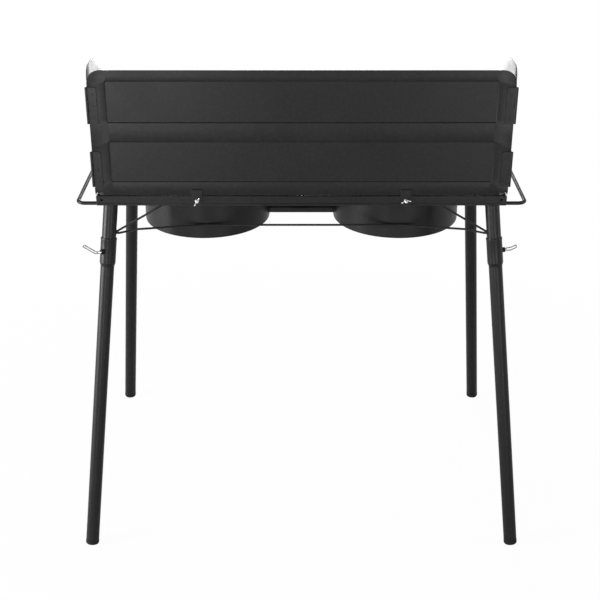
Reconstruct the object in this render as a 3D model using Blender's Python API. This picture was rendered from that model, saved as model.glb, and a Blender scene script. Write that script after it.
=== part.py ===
"""Two-burner camp gas stove on four removable splayed legs, with a three-sided wind screen.

Metres, +Z up. The cooking deck is centred on the origin, the floor is Z = 0, the wind
screen's back faces -Y and the knobs face +Y. Every piece is one named object.
"""
import math

import bmesh
import bpy
from mathutils import Matrix, Vector

# Deck frame: a pressed angle rail with its flange at the bottom
DECK_WIDTH = 0.820
DECK_DEPTH = 0.388
DECK_BOTTOM = 0.7434
RAIL_HEIGHT = 0.020
RAIL_WALL = 0.002
FLANGE_WIDTH = 0.023
CENTRE_STRIP_WIDTH = 0.030
GUSSET_LENGTH = 0.064
STRIP_THICKNESS = 0.0014
RAIL_HOLE_RADIUS = 0.0024
RAIL_HOLE_INSET = 0.011

# Wind screen: pressed sheet, standing just above the rail
SHEET = 0.0012
SCREEN_LIFT = 0.0015
BACK_HEIGHT = 0.2521
BACK_CORNER_RADIUS = 0.026
BACK_FOOT_NOTCH_WIDTH = 0.016
BACK_FOOT_NOTCH_HEIGHT = 0.005
FIELD_MARGIN = 0.0323
FIELD_LOWER = (0.0266, 0.1121)
FIELD_UPPER = (0.1476, 0.2326)
FIELD_DEPTH = 0.0014
FIELD_SLOPE = 0.0030
SIDE_HEIGHT = 0.2566
SIDE_LEVEL_LENGTH = 0.090
SIDE_FALL_ANGLE = math.radians(23.5)
SIDE_TOP_REAR_RADIUS = 0.022
SIDE_TOP_FOLD_RADIUS = 0.150
SIDE_TOP_FRONT_RADIUS = 0.022
SIDE_GAP_TO_BACK = 0.0010
SIDE_FRONT_SETBACK = 0.0015
SIDE_FIELD_INSET = 0.038

# Screen hinges: a leaf on the back sheet, a leaf on the side sheet, one pin each
HINGE_LENGTH = 0.072
HINGE_LOWER_Z = 0.0181
HINGE_UPPER_Z = 0.1471
HINGE_LEAF_WIDTH = 0.0186
KNUCKLE_RADIUS = 0.0026
PIN_RADIUS = 0.0012
PIN_CLEARANCE = 0.0004
HINGE_OUTSET = 0.0015
HINGE_NOTCH_MARGIN = 0.002

# Clips that hold the back sheet to the rear rail, with their bolts and wing nuts
CLIP_X = 0.208
CLIP_WIDTH = 0.0215
CLIP_THICKNESS = 0.0015
CLIP_OVERLAP = 0.0115
CLIP_FOOT_LIFT = 0.0015
BOLT_RADIUS = 0.0024
BOLT_HEAD_RADIUS = 0.0050
BOLT_HEAD_THICKNESS = 0.0025
BOLT_REACH = 0.0120
NUT_HUB_RADIUS = 0.0046
NUT_HUB_LENGTH = 0.0060
NUT_WING_SPAN = 0.0098
NUT_WING_THICKNESS = 0.0022
NUT_TURNS = {"left": math.radians(-58), "right": math.radians(-13)}

# Legs: a short stub under each deck corner, and a tube leg whose flared socket slides over it
LEG_INSET_X = 0.025
LEG_INSET_Y = 0.028
LEG_SPLAY_X = 0.072
LEG_SPLAY_Y = 0.149
LEG_TOP = (DECK_WIDTH / 2 - LEG_INSET_X, DECK_DEPTH / 2 - LEG_INSET_Y)
LEG_FOOT = (LEG_TOP[0] + LEG_SPLAY_X, LEG_TOP[1] + LEG_SPLAY_Y)
STUB_RADIUS = 0.0145
STUB_WALL = 0.0016
SOCKET_TOP = 0.0773
SOCKET_LENGTH = 0.0511
SOCKET_WALL = 0.0012
SOCKET_BEAD = 0.0005
SOCKET_TAPER = 0.0090
TUBE_RADIUS = 0.0139
TUBE_WALL = 0.0015
FOOT_RADIUS = 0.0145
FOOT_HEIGHT = 0.010
FOOT_PLUG_LENGTH = 0.018
FOOT_EDGE_RADIUS = 0.004
LEG_HOLE_HEIGHTS = (0.403, 0.487)
LEG_HOLE_RADIUS = 0.0025

# Thumb screws: a weld nut on each socket and a screw with a bent wire loop for a lever
SCREW_DEPTH = 0.0280
WELD_NUT_RADIUS = 0.0055
WELD_NUT_LENGTH = 0.0055
SCREW_RADIUS = 0.0027
SCREW_COLLAR_RADIUS = 0.0036
SCREW_COLLAR_LENGTH = 0.0035
LEVER_WIRE_RADIUS = 0.0011
LEVER_STRAIGHT = 0.0115
LEVER_BENT = 0.0295
LEVER_HALF_WIDTH = 0.0027
LEVER_BEND_ANGLE = math.radians(48)
# turn of each leg in its stub, then turn of its lever, as the photographed stove stands
SCREW_TURNS = {
    "rear_left": (55, 230),
    "rear_right": (-11, 86),
    "front_left": (20, 60),
    "front_right": (-15, 40),
}

# Carrying handles and the truss rods that brace the stubs and cradle the drums
HANDLE_RADIUS = 0.00375
HANDLE_OUTSET = 0.0414
HANDLE_INSET = 0.016
HANDLE_X = DECK_WIDTH / 2 + HANDLE_OUTSET
HANDLE_Y = DECK_DEPTH / 2 - HANDLE_INSET
HANDLE_BEND = 0.016
HANDLE_DROP = 0.0018
TRUSS_RADIUS = 0.0022
TRUSS_RISE = 0.032
TRUSS_TOP_FROM_LEG = 0.1075
TRUSS_TOP_INSET = 0.011
TRUSS_ELBOW_FROM_LEG = 0.049
TRUSS_ELBOW_INSET = 0.006
TRUSS_TOP_X = LEG_TOP[0] - TRUSS_TOP_FROM_LEG
TRUSS_TOP_Y = DECK_DEPTH / 2 - TRUSS_TOP_INSET
TRUSS_ELBOW_X = LEG_TOP[0] - TRUSS_ELBOW_FROM_LEG
TRUSS_ELBOW_Y = LEG_TOP[1] - TRUSS_ELBOW_INSET
TRUSS_V_RISE = 0.004
TRUSS_KINK_OFFSET = 0.003
TRUSS_ELBOW_RADIUS = 0.030
TRUSS_KINK_RADIUS = 0.020
TRUSS_V_RADIUS = 0.0016

# Burner drums, support bar, burners and mixer tubes
DRUM_FROM_LEG = 0.181
DRUM_X = LEG_TOP[0] - DRUM_FROM_LEG
DRUM_RADIUS = 0.1345
DRUM_WALL = 0.0012
DRUM_HEIGHT = 0.0939
DRUM_DROP = 0.004
DRUM_LIP = 0.010
DRUM_RIM = 0.0035
BAR_WIDTH = 0.026
BAR_HEIGHT = 0.010
BAR_WALL = 0.0018
BAR_RISE = 0.0102
BURNER_AXIS_RISE = 0.0313
BURNER_RADIUS = 0.052
BURNER_HEIGHT = 0.0585
BURNER_FOOT_RADIUS = 0.0125
BURNER_WELL_RADIUS = 0.027
BURNER_FOOT_HEIGHT = 0.006
BURNER_THROAT_RADIUS = 0.017
BURNER_THROAT_RISE = 0.016
BURNER_NECK_RADIUS = 0.024
BURNER_NECK_RISE = 0.028
BURNER_BOWL_INSET = 0.006
BURNER_BOWL_RISE = 0.038
BURNER_RIM_RISE = 0.042
BURNER_PORTS = 10
PORT_WIDTH = 0.0026
PORT_HEIGHT = 0.0060
MIXER_RADIUS = 0.010
MIXER_WALL = 0.0014
MIXER_SOCKET_Y = 0.058
MIXER_SOCKET_DEPTH = 0.018
MIXER_BELL_RADIUS = 0.0130
MIXER_BELL_LENGTH = 0.013
AIR_SLOT_WIDTH = 0.007
AIR_SLOT_LENGTH = 0.007

# Gas line: manifold, hose inlet, valves, stems and knobs behind the control panel
PANEL_END_OVERHANG = 0.046
PANEL_HALF_WIDTH = DRUM_X + PANEL_END_OVERHANG
PANEL_HEIGHT = 0.088
PANEL_TOP_FLANGE = 0.026
PANEL_BOTTOM_FLANGE = 0.014
MANIFOLD_RADIUS = 0.006
MANIFOLD_BORE = 0.0042
MANIFOLD_Y = 0.160
MANIFOLD_DROP = 0.032
MANIFOLD_CAP_OVERHANG = 0.022
MANIFOLD_INLET_OVERHANG = 0.114
MANIFOLD_LEFT = DRUM_X + MANIFOLD_CAP_OVERHANG
MANIFOLD_RIGHT = DRUM_X + MANIFOLD_INLET_OVERHANG
INLET_RADIUS = 0.0078
INLET_LENGTH = 0.020
VALVE_REAR_Y = 0.154
VALVE_BODY_LENGTH = 0.020
VALVE_RADIUS = 0.0095
VALVE_BONNET_RADIUS = 0.0072
VALVE_NECK_RADIUS = 0.0055
JET_RADIUS = 0.0045
JET_LENGTH = 0.009
STEM_RADIUS = 0.0030
STEM_BEARING_DEPTH = 0.018
KNOB_RADIUS = 0.021
KNOB_DEPTH = 0.020
KNOB_STANDOFF = 0.0015
KNOB_GRIP_WIDTH = 0.0095
KNOB_GRIP_HEIGHT = 0.0060

# Cooking grates
GRATE_HEIGHT = 0.0165
GRATE_SIDE_GAP = 0.0018
GRATE_END_GAP = 0.0052
GRATE_MIDDLE_GAP = 0.0030
GRATE_EDGE = 0.005
GRATE_BAR = 0.004
GRATE_LONG_BARS = 8
GRATE_CROSS_BAR_Y = 0.062

# Clearances
SEAT = 0.0003
RUN = 0.0004
CUT = 0.010

ROUND_STEPS = 18
DRUM_STEPS = 36
BURNER_STEPS = 20
SMALL_STEPS = 10
PIN_STEPS = 8
FILLET_STEPS = 3
LEVER_FILLET_STEPS = 2

DECK_TOP = DECK_BOTTOM + RAIL_HEIGHT
DRUM_TOP = DECK_BOTTOM - DRUM_DROP
DRUM_BOTTOM = DRUM_TOP - DRUM_HEIGHT
TRUSS_Z = DRUM_BOTTOM + TRUSS_RISE
BAR_BOTTOM = DRUM_BOTTOM + BAR_RISE
BURNER_BASE = BAR_BOTTOM + BAR_HEIGHT + SEAT
BURNER_AXIS_Z = BAR_BOTTOM + BAR_HEIGHT + BURNER_AXIS_RISE
BURNER_TOP = BURNER_BASE + BURNER_HEIGHT
BACK_Y = -DECK_DEPTH / 2
SCREEN_HALF_WIDTH = DECK_WIDTH / 2 + 0.0003
SCREEN_BOTTOM = DECK_TOP + SCREEN_LIFT
HINGE_X = SCREEN_HALF_WIDTH + HINGE_OUTSET
HINGE_Y = BACK_Y - SEAT - SHEET / 2
CLIP_Z = DECK_BOTTOM + RAIL_HEIGHT / 2 + 0.001
LEG_NAMES = {
    "rear_left": (-1, -1),
    "rear_right": (1, -1),
    "front_left": (-1, 1),
    "front_right": (1, 1),
}
SIDES = {"left": -1, "right": 1}


def clear_scene():
    for item in list(bpy.data.objects):
        bpy.data.objects.remove(item)


def make_material(name, colour, roughness, metallic):
    material = bpy.data.materials.new(name)
    material.use_nodes = True
    shader = material.node_tree.nodes["Principled BSDF"]
    shader.inputs["Base Color"].default_value = (*colour, 1.0)
    shader.inputs["Roughness"].default_value = roughness
    shader.inputs["Metallic"].default_value = metallic
    return material


def add_object(name, data, material=None, place=None):
    thing = bpy.data.objects.new(name, data)
    bpy.context.scene.collection.objects.link(thing)
    if material is not None:
        data.materials.append(material)
    if place is not None:
        thing.matrix_world = place
    return thing


def finish_mesh(name, bm, smooth_angle=40):
    """Turn a closed bmesh into a mesh with outward faces and smooth round sides."""
    bmesh.ops.remove_doubles(bm, verts=bm.verts, dist=1e-6)
    bmesh.ops.recalc_face_normals(bm, faces=bm.faces)
    mesh = bpy.data.meshes.new(name)
    bm.to_mesh(mesh)
    bm.free()
    mesh.shade_smooth()
    mesh.set_sharp_from_angle(angle=math.radians(smooth_angle))
    return mesh


def turned(name, profile, steps=ROUND_STEPS):
    """Spin a closed (radius, height) outline about Z. A radius of 0 closes on the axis."""
    bm = bmesh.new()
    verts = [bm.verts.new((radius, 0, height)) for radius, height in profile]
    edges = [bm.edges.new(pair) for pair in zip(verts, verts[1:])]
    if profile[0][0] > 0:
        edges.append(bm.edges.new((verts[-1], verts[0])))
    bmesh.ops.spin(bm, geom=verts + edges, axis=(0, 0, 1), cent=(0, 0, 0),
                   steps=steps, angle=2 * math.pi, use_merge=True)
    return finish_mesh(name, bm)


def prism(name, outline, depth):
    """Extrude a flat outline of 3-D points by a depth vector."""
    bm = bmesh.new()
    face = bm.faces.new([bm.verts.new(point) for point in outline])
    grown = bmesh.ops.extrude_face_region(bm, geom=[face])
    moved = [item for item in grown["geom"] if isinstance(item, bmesh.types.BMVert)]
    bmesh.ops.translate(bm, verts=moved, vec=depth)
    return finish_mesh(name, bm, smooth_angle=25)


def block(name, low, high):
    outline = [(low[0], low[1], low[2]), (high[0], low[1], low[2]),
               (high[0], high[1], low[2]), (low[0], high[1], low[2])]
    return prism(name, outline, (0, 0, high[2] - low[2]))


def tapered_block(name, base, top):
    """A block between two parallel rectangles, each given by its four corners."""
    bm = bmesh.new()
    lower = [bm.verts.new(point) for point in base]
    upper = [bm.verts.new(point) for point in top]
    bm.faces.new(lower)
    bm.faces.new(upper)
    for index in range(4):
        following = (index + 1) % 4
        bm.faces.new((lower[index], lower[following], upper[following], upper[index]))
    return finish_mesh(name, bm)


def rod_cylinder(name, radius, start, end, steps=SMALL_STEPS):
    """A cylinder between two points."""
    start = Vector(start)
    end = Vector(end)
    length = (end - start).length
    mesh = turned(name, [(0, 0), (radius, 0), (radius, length), (0, length)], steps)
    turn = Vector((0, 0, 1)).rotation_difference(end - start).to_matrix().to_4x4()
    mesh.transform(Matrix.Translation(start) @ turn)
    return mesh


def filleted(points, radii, steps=FILLET_STEPS, closed=True):
    """Round the corners of a path or outline with arcs, radii given corner by corner."""
    points = [Vector(point) for point in points]
    rounded = []
    count = len(points)
    for index, corner in enumerate(points):
        radius = radii[index] if isinstance(radii, (list, tuple)) else radii
        is_end = not closed and index in (0, count - 1)
        if radius <= 0 or is_end:
            rounded.append(corner)
            continue
        to_before = (points[index - 1] - corner).normalized()
        to_after = (points[(index + 1) % count] - corner).normalized()
        half = to_before.angle(to_after) / 2
        centre = corner + (to_before + to_after).normalized() * radius / math.sin(half)
        first = corner + to_before * radius / math.tan(half) - centre
        last = corner + to_after * radius / math.tan(half) - centre
        for step in range(steps + 1):
            spoke = first.normalized().slerp(last.normalized(), step / steps)
            rounded.append(centre + spoke * radius)
    return rounded


def wire(name, points, radius, material=None, cyclic=False, resolution=2):
    """A round rod along a path, with flat closed ends."""
    curve = bpy.data.curves.new(name, "CURVE")
    curve.dimensions = "3D"
    curve.bevel_depth = radius
    curve.bevel_resolution = resolution
    curve.use_fill_caps = True
    curve.resolution_u = 1
    curve.render_resolution_u = 0
    spline = curve.splines.new("POLY")
    spline.points.add(len(points) - 1)
    for spline_point, place in zip(spline.points, points):
        spline_point.co = (*place, 1)
    spline.use_cyclic_u = cyclic
    return add_object(name, curve, material)


def wire_mesh(name, points, radius, cyclic=False, resolution=1):
    """The same rod as a plain mesh, for a Boolean."""
    thing = wire(name + "_path", points, radius, None, cyclic, resolution)
    graph = bpy.context.evaluated_depsgraph_get()
    mesh = bpy.data.meshes.new_from_object(thing.evaluated_get(graph))
    bpy.data.objects.remove(thing)
    bm = bmesh.new()
    bm.from_mesh(mesh)
    return finish_mesh(name, bm)


def combine(target, tool_mesh, operation, place=None):
    """Cut or join a tool mesh with an exact Boolean. The tool stays as a hidden guide."""
    tool = add_object(f"tool_{len(bpy.data.objects):03d}", tool_mesh)
    tool.matrix_world = place if place is not None else Matrix.Identity(4)
    tool.hide_render = True
    tool.display_type = "WIRE"
    modifier = target.modifiers.new(tool.name, "BOOLEAN")
    modifier.operation = operation
    modifier.object = tool
    return tool


def cut(target, tool_mesh, place=None):
    return combine(target, tool_mesh, "DIFFERENCE", place)


def join(target, tool_mesh, place=None):
    return combine(target, tool_mesh, "UNION", place)


def place_origin(thing, point):
    """Move an object's origin to a point without moving its shape."""
    thing.data.transform(Matrix.Translation(-Vector(point)))
    thing.location = point
    return thing


def mirrored(points, sign):
    return [(sign * point[0], point[1], point[2]) for point in points]


def leg_frame(sign_x, sign_y, turn=0.0):
    """Local frame of a leg: origin at the deck's underside, +Z up along the leg's axis."""
    top = Vector((sign_x * LEG_TOP[0], sign_y * LEG_TOP[1], DECK_BOTTOM))
    foot = Vector((sign_x * LEG_FOOT[0], sign_y * LEG_FOOT[1], 0))
    up = (top - foot).normalized()
    outward = Vector((sign_x, 0, 0))
    outward = (outward - up * outward.dot(up)).normalized()
    across = up.cross(outward)
    turn_matrix = Matrix.Rotation(turn, 4, "Z")
    basis = Matrix((outward, across, up)).transposed().to_4x4()
    return Matrix.Translation(top) @ basis @ turn_matrix


def leg_length():
    top = Vector((*LEG_TOP, DECK_BOTTOM))
    foot = Vector((*LEG_FOOT, 0))
    return (top - foot).length


def leg_point(z):
    """X and Y of a leg's axis at a height, for the leg at +X and +Y."""
    fall = (DECK_BOTTOM - z) / DECK_BOTTOM
    return (LEG_TOP[0] + (LEG_FOOT[0] - LEG_TOP[0]) * fall,
            LEG_TOP[1] + (LEG_FOOT[1] - LEG_TOP[1]) * fall)


def screw_turn(name):
    """Turn of a leg about its axis, so that its screw points out and a little outward-back."""
    sign_x, sign_y = LEG_NAMES[name]
    return math.radians(SCREW_TURNS[name][0]) * sign_x * sign_y


def build_deck_frame(paint):
    half_x = DECK_WIDTH / 2
    half_y = DECK_DEPTH / 2
    section = [(0, DECK_BOTTOM), (0, DECK_TOP), (RAIL_WALL, DECK_TOP),
               (RAIL_WALL, DECK_BOTTOM + RAIL_WALL), (FLANGE_WIDTH, DECK_BOTTOM + RAIL_WALL),
               (FLANGE_WIDTH, DECK_BOTTOM)]
    bm = bmesh.new()
    corners = [(-1, -1), (1, -1), (1, 1), (-1, 1)]
    rings = []
    for inset, height in section:
        ring = [bm.verts.new((sx * (half_x - inset), sy * (half_y - inset), height))
                for sx, sy in corners]
        rings.append(ring)
    for index, ring in enumerate(rings):
        following = rings[(index + 1) % len(rings)]
        for side in range(4):
            beyond = (side + 1) % 4
            bm.faces.new((ring[side], ring[beyond], following[beyond], following[side]))
    frame = add_object("deck_frame", finish_mesh("deck_frame", bm), paint)
    strip_low = DECK_BOTTOM + (RAIL_WALL - STRIP_THICKNESS) / 2
    strip_high = strip_low + STRIP_THICKNESS
    reach = half_y - FLANGE_WIDTH / 2
    join(frame, block("strip", (-CENTRE_STRIP_WIDTH / 2, -reach, strip_low),
                      (CENTRE_STRIP_WIDTH / 2, reach, strip_high)))
    for sign_x, sign_y in LEG_NAMES.values():
        corner_x = sign_x * (half_x - FLANGE_WIDTH / 2)
        corner_y = sign_y * (half_y - FLANGE_WIDTH / 2)
        outline = [(corner_x, corner_y, strip_low),
                   (corner_x - sign_x * GUSSET_LENGTH, corner_y, strip_low),
                   (corner_x, corner_y - sign_y * GUSSET_LENGTH, strip_low)]
        join(frame, prism("gusset", outline, (0, 0, STRIP_THICKNESS)))
    hole_x = half_x - RAIL_HOLE_INSET
    for sign in SIDES.values():
        cut(frame, rod_cylinder("rail_hole", RAIL_HOLE_RADIUS, (sign * hole_x, BACK_Y - CUT, CLIP_Z),
                                (sign * hole_x, BACK_Y + CUT, CLIP_Z)))
        cut(frame, rod_cylinder("bolt_hole", BOLT_RADIUS + RUN, (sign * CLIP_X, BACK_Y - CUT, CLIP_Z),
                                (sign * CLIP_X, BACK_Y + CUT, CLIP_Z)))
    return frame


def press_field(sheet, corners, outward):
    """Press a rectangular field into a sheet: a raised pad inside, a recess outside."""
    centre = sum((Vector(corner) for corner in corners), Vector()) / 4
    outward = Vector(outward)

    def ring(offset, shrink):
        points = []
        for corner in corners:
            spoke = Vector(corner) - centre
            signs = Vector([math.copysign(1, value) if abs(value) > 1e-6 else 0 for value in spoke])
            points.append(centre + spoke - signs * shrink + outward * offset)
        return points

    inner = -SHEET
    pad_top = inner - FIELD_DEPTH
    grow = -SHEET * 0.45
    join(sheet, tapered_block("pad", ring(inner / 2, grow), ring(pad_top, FIELD_SLOPE + grow)))
    outer_run = FIELD_SLOPE * (FIELD_DEPTH + SHEET / 2) / FIELD_DEPTH
    cut(sheet, tapered_block("recess", ring(SHEET / 2, FIELD_SLOPE - outer_run),
                             ring(-FIELD_DEPTH, FIELD_SLOPE)))


def build_back_screen(paint):
    half = SCREEN_HALF_WIDTH
    notch = half - HINGE_X + KNUCKLE_RADIUS + RUN * 1.5
    top = SCREEN_BOTTOM + BACK_HEIGHT
    edge = [(half - BACK_FOOT_NOTCH_WIDTH, SCREEN_BOTTOM),
            (half - BACK_FOOT_NOTCH_WIDTH, SCREEN_BOTTOM + BACK_FOOT_NOTCH_HEIGHT),
            (half, SCREEN_BOTTOM + BACK_FOOT_NOTCH_HEIGHT)]
    for hinge_z in (HINGE_LOWER_Z, HINGE_UPPER_Z):
        low = SCREEN_BOTTOM + hinge_z - HINGE_NOTCH_MARGIN
        high = SCREEN_BOTTOM + hinge_z + HINGE_LENGTH + HINGE_NOTCH_MARGIN
        edge += [(half, low), (half - notch, low), (half - notch, high), (half, high)]
    corner = filleted([(half, 0, top - BACK_CORNER_RADIUS), (half, 0, top),
                       (half - BACK_CORNER_RADIUS, 0, top)], BACK_CORNER_RADIUS, closed=False)
    edge += [(point.x, point.z) for point in corner[1:-1]]
    outline = [(x, BACK_Y, z) for x, z in edge]
    outline += [(-x, BACK_Y, z) for x, z in reversed(edge)]
    sheet = add_object("windscreen_back", prism("windscreen_back", outline, (0, SHEET, 0)), paint)
    field_x = half - FIELD_MARGIN
    for low, high in (FIELD_LOWER, FIELD_UPPER):
        corners = [(-field_x, BACK_Y, SCREEN_BOTTOM + low), (field_x, BACK_Y, SCREEN_BOTTOM + low),
                   (field_x, BACK_Y, SCREEN_BOTTOM + high), (-field_x, BACK_Y, SCREEN_BOTTOM + high)]
        press_field(sheet, corners, (0, -1, 0))
    return sheet


def build_side_screen(side, paint):
    sign = SIDES[side]
    rear = BACK_Y + SHEET + SIDE_GAP_TO_BACK
    front = DECK_DEPTH / 2 - SIDE_FRONT_SETBACK
    top = SCREEN_BOTTOM + SIDE_HEIGHT
    fold = BACK_Y + SIDE_LEVEL_LENGTH
    front_top = top - (front - fold) * math.tan(SIDE_FALL_ANGLE)
    x = sign * SCREEN_HALF_WIDTH
    outline = filleted(
        [(x, rear, SCREEN_BOTTOM), (x, front, SCREEN_BOTTOM), (x, front, front_top),
         (x, fold, top), (x, rear, top)],
        [0, 0, SIDE_TOP_FRONT_RADIUS, SIDE_TOP_FOLD_RADIUS, SIDE_TOP_REAR_RADIUS])
    name = f"windscreen_{side}"
    sheet = add_object(name, prism(name, outline, (-sign * SHEET, 0, 0)), paint)
    low = SCREEN_BOTTOM + FIELD_LOWER[0]
    high = SCREEN_BOTTOM + FIELD_LOWER[1]
    corners = [(x, rear + SIDE_FIELD_INSET, low), (x, front - SIDE_FIELD_INSET, low),
               (x, front - SIDE_FIELD_INSET, high), (x, rear + SIDE_FIELD_INSET, high)]
    press_field(sheet, corners, (sign, 0, 0))
    return place_origin(sheet, (sign * HINGE_X, HINGE_Y, SCREEN_BOTTOM))


def build_hinge(side, level, start, paint):
    """Two leaves. The back leaf holds the pin and two knuckles, the side leaf the middle one."""
    sign = SIDES[side]
    low = SCREEN_BOTTOM + start
    high = low + HINGE_LENGTH
    third = HINGE_LENGTH / 3
    axis_x = sign * HINGE_X
    relief = KNUCKLE_RADIUS + PIN_CLEARANCE * 1.5
    inner_x = sign * (HINGE_X - HINGE_LEAF_WIDTH)
    relief_x = sign * (HINGE_X - relief)
    leaf_y = HINGE_Y - SHEET / 2
    outline = [(inner_x, low), (axis_x, low), (axis_x, low + third), (relief_x, low + third),
               (relief_x, high - third), (axis_x, high - third), (axis_x, high), (inner_x, high)]
    name = f"hinge_leaf_back_{level}_{side}"
    back_leaf = add_object(name, prism(name, [(x, leaf_y, z) for x, z in outline], (0, SHEET, 0)), paint)
    for knuckle_low, knuckle_high in ((low, low + third), (high - third, high)):
        join(back_leaf, rod_cylinder("knuckle", KNUCKLE_RADIUS, (axis_x, HINGE_Y, knuckle_low),
                                     (axis_x, HINGE_Y, knuckle_high)))
    join(back_leaf, rod_cylinder("pin", PIN_RADIUS, (axis_x, HINGE_Y, low + third / 2),
                                 (axis_x, HINGE_Y, high - third / 2), PIN_STEPS))
    leaf_x = sign * (SCREEN_HALF_WIDTH + SEAT)
    relief_y = HINGE_Y + relief
    far_y = HINGE_Y + HINGE_LEAF_WIDTH
    middle_low = low + third + PIN_CLEARANCE
    middle_high = high - third - PIN_CLEARANCE
    outline = [(far_y, low), (relief_y, low), (relief_y, middle_low), (HINGE_Y, middle_low),
               (HINGE_Y, middle_high), (relief_y, middle_high), (relief_y, high), (far_y, high)]
    name = f"hinge_leaf_side_{level}_{side}"
    side_leaf = add_object(name, prism(name, [(leaf_x, y, z) for y, z in outline],
                                       (sign * SHEET, 0, 0)), paint)
    join(side_leaf, rod_cylinder("knuckle", KNUCKLE_RADIUS, (axis_x, HINGE_Y, middle_low),
                                 (axis_x, HINGE_Y, middle_high)))
    cut(side_leaf, rod_cylinder("bore", PIN_RADIUS + PIN_CLEARANCE, (axis_x, HINGE_Y, low - CUT),
                                (axis_x, HINGE_Y, high + CUT), PIN_STEPS))
    return back_leaf, place_origin(side_leaf, (axis_x, HINGE_Y, low))


def build_clip_set(side, paint, zinc):
    """The clip on the back sheet, the bolt through the rail, and the wing nut on the bolt."""
    x = SIDES[side] * CLIP_X
    clip_y = BACK_Y - SEAT
    low = DECK_BOTTOM + CLIP_FOOT_LIFT
    high = SCREEN_BOTTOM + CLIP_OVERLAP
    half = CLIP_WIDTH / 2
    slot = BOLT_RADIUS + RUN
    arc = [(x + slot * math.cos(angle), CLIP_Z + SEAT + slot * math.sin(angle))
           for angle in [math.pi * step / 8 for step in range(9)]]
    outline = [(x - half, low), (x - slot, low)] + arc[::-1] + [(x + slot, low), (x + half, low),
                                                              (x + half, high), (x - half, high)]
    name = f"panel_clip_{side}"
    clip_points = [(px, clip_y - CLIP_THICKNESS, pz) for px, pz in outline]
    clip = add_object(name, prism(name, clip_points, (0, CLIP_THICKNESS, 0)), paint)
    head_y = BACK_Y + RAIL_WALL + SEAT
    tip_y = clip_y - CLIP_THICKNESS - BOLT_REACH
    profile = [(0, 0), (BOLT_HEAD_RADIUS * 0.8, 0), (BOLT_HEAD_RADIUS, -BOLT_HEAD_THICKNESS * 0.4),
               (BOLT_HEAD_RADIUS, -BOLT_HEAD_THICKNESS), (BOLT_RADIUS, -BOLT_HEAD_THICKNESS),
               (BOLT_RADIUS, tip_y - head_y - BOLT_HEAD_THICKNESS), (0, tip_y - head_y - BOLT_HEAD_THICKNESS)]
    face_y = head_y + BOLT_HEAD_THICKNESS
    toward_front = Matrix.Rotation(math.radians(-90), 4, "X")
    bolt = add_object(f"clip_bolt_{side}", turned("bolt", profile, SMALL_STEPS), zinc,
                      Matrix.Translation((x, face_y, CLIP_Z)) @ toward_front)
    nut_base = clip_y - CLIP_THICKNESS - SEAT
    hub = turned("hub", [(0, 0), (NUT_HUB_RADIUS, 0), (NUT_HUB_RADIUS * 0.82, -NUT_HUB_LENGTH),
                         (0, -NUT_HUB_LENGTH)], SMALL_STEPS)
    place = Matrix.Translation((x, nut_base, CLIP_Z)) @ toward_front
    place = place @ Matrix.Rotation(NUT_TURNS[side], 4, "Z")
    nut = add_object(f"wing_nut_{side}", hub, zinc, place)
    for wing in (-1, 1):
        ear = filleted([(0, 0, -0.0015), (wing * NUT_WING_SPAN * 0.75, 0, -0.0035),
                        (wing * NUT_WING_SPAN, 0, -0.0075), (wing * NUT_WING_SPAN, 0, -0.0105),
                        (wing * NUT_WING_SPAN * 0.62, 0, -0.0105), (0, 0, -0.0052)],
                       [0, 0.002, 0.0012, 0.0016, 0.0016, 0], 3)
        points = [(point.x, -NUT_WING_THICKNESS / 2, point.z) for point in ear]
        join(nut, prism("ear", points, (0, NUT_WING_THICKNESS, 0)), place)
    cut(nut, rod_cylinder("bore", BOLT_RADIUS + RUN, (0, 0, CUT), (0, 0, -CUT)), place)
    return clip, bolt, nut


def build_stub(name, paint):
    place = leg_frame(*LEG_NAMES[name])
    end = -(SOCKET_TOP + SOCKET_LENGTH)
    inner = STUB_RADIUS - STUB_WALL
    mesh = turned(name, [(inner, 0.012), (STUB_RADIUS, 0.012), (STUB_RADIUS, end), (inner, end)])
    stub = add_object(f"leg_stub_{name}", mesh, paint, place)
    ceiling = DECK_BOTTOM - SEAT
    cut(stub, block("ceiling", (-DECK_WIDTH, -DECK_DEPTH, ceiling),
                    (DECK_WIDTH, DECK_DEPTH, ceiling + CUT * 5)))
    return stub


def build_leg(name, paint):
    """Tube leg: flared socket at the top, swaged down to the tube, with a weld nut."""
    place = leg_frame(*LEG_NAMES[name], screw_turn(name))
    bore = STUB_RADIUS + RUN
    socket = bore + SOCKET_WALL
    top = -SOCKET_TOP
    shoulder = top - SOCKET_LENGTH
    neck = shoulder - SOCKET_TAPER
    end = -(leg_length() - FOOT_HEIGHT - SEAT)
    tube_bore = TUBE_RADIUS - TUBE_WALL
    profile = [(bore, top), (socket + SOCKET_BEAD, top), (socket + SOCKET_BEAD, top - 0.004),
               (socket, top - 0.005), (socket, shoulder), (TUBE_RADIUS, neck), (TUBE_RADIUS, end),
               (tube_bore, end), (tube_bore, neck), (bore, shoulder)]
    leg = add_object(f"leg_{name}", turned(name, profile), paint, place)
    screw_z = top - SCREW_DEPTH
    join(leg, rod_cylinder("weld_nut", WELD_NUT_RADIUS, (bore + SOCKET_WALL / 2, 0, screw_z),
                           (socket + WELD_NUT_LENGTH, 0, screw_z), 6), place)
    cut(leg, rod_cylinder("screw_hole", SCREW_RADIUS + RUN, (0, 0, screw_z),
                          (socket + WELD_NUT_LENGTH + CUT, 0, screw_z)), place)
    slope = leg_length() / DECK_BOTTOM
    for height in LEG_HOLE_HEIGHTS:
        hole_z = -(DECK_BOTTOM - height) * slope
        cut(leg, rod_cylinder("leg_hole", LEG_HOLE_RADIUS, (-TUBE_RADIUS - CUT, 0, hole_z),
                              (0, 0, hole_z), PIN_STEPS), place)
    return leg


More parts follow.
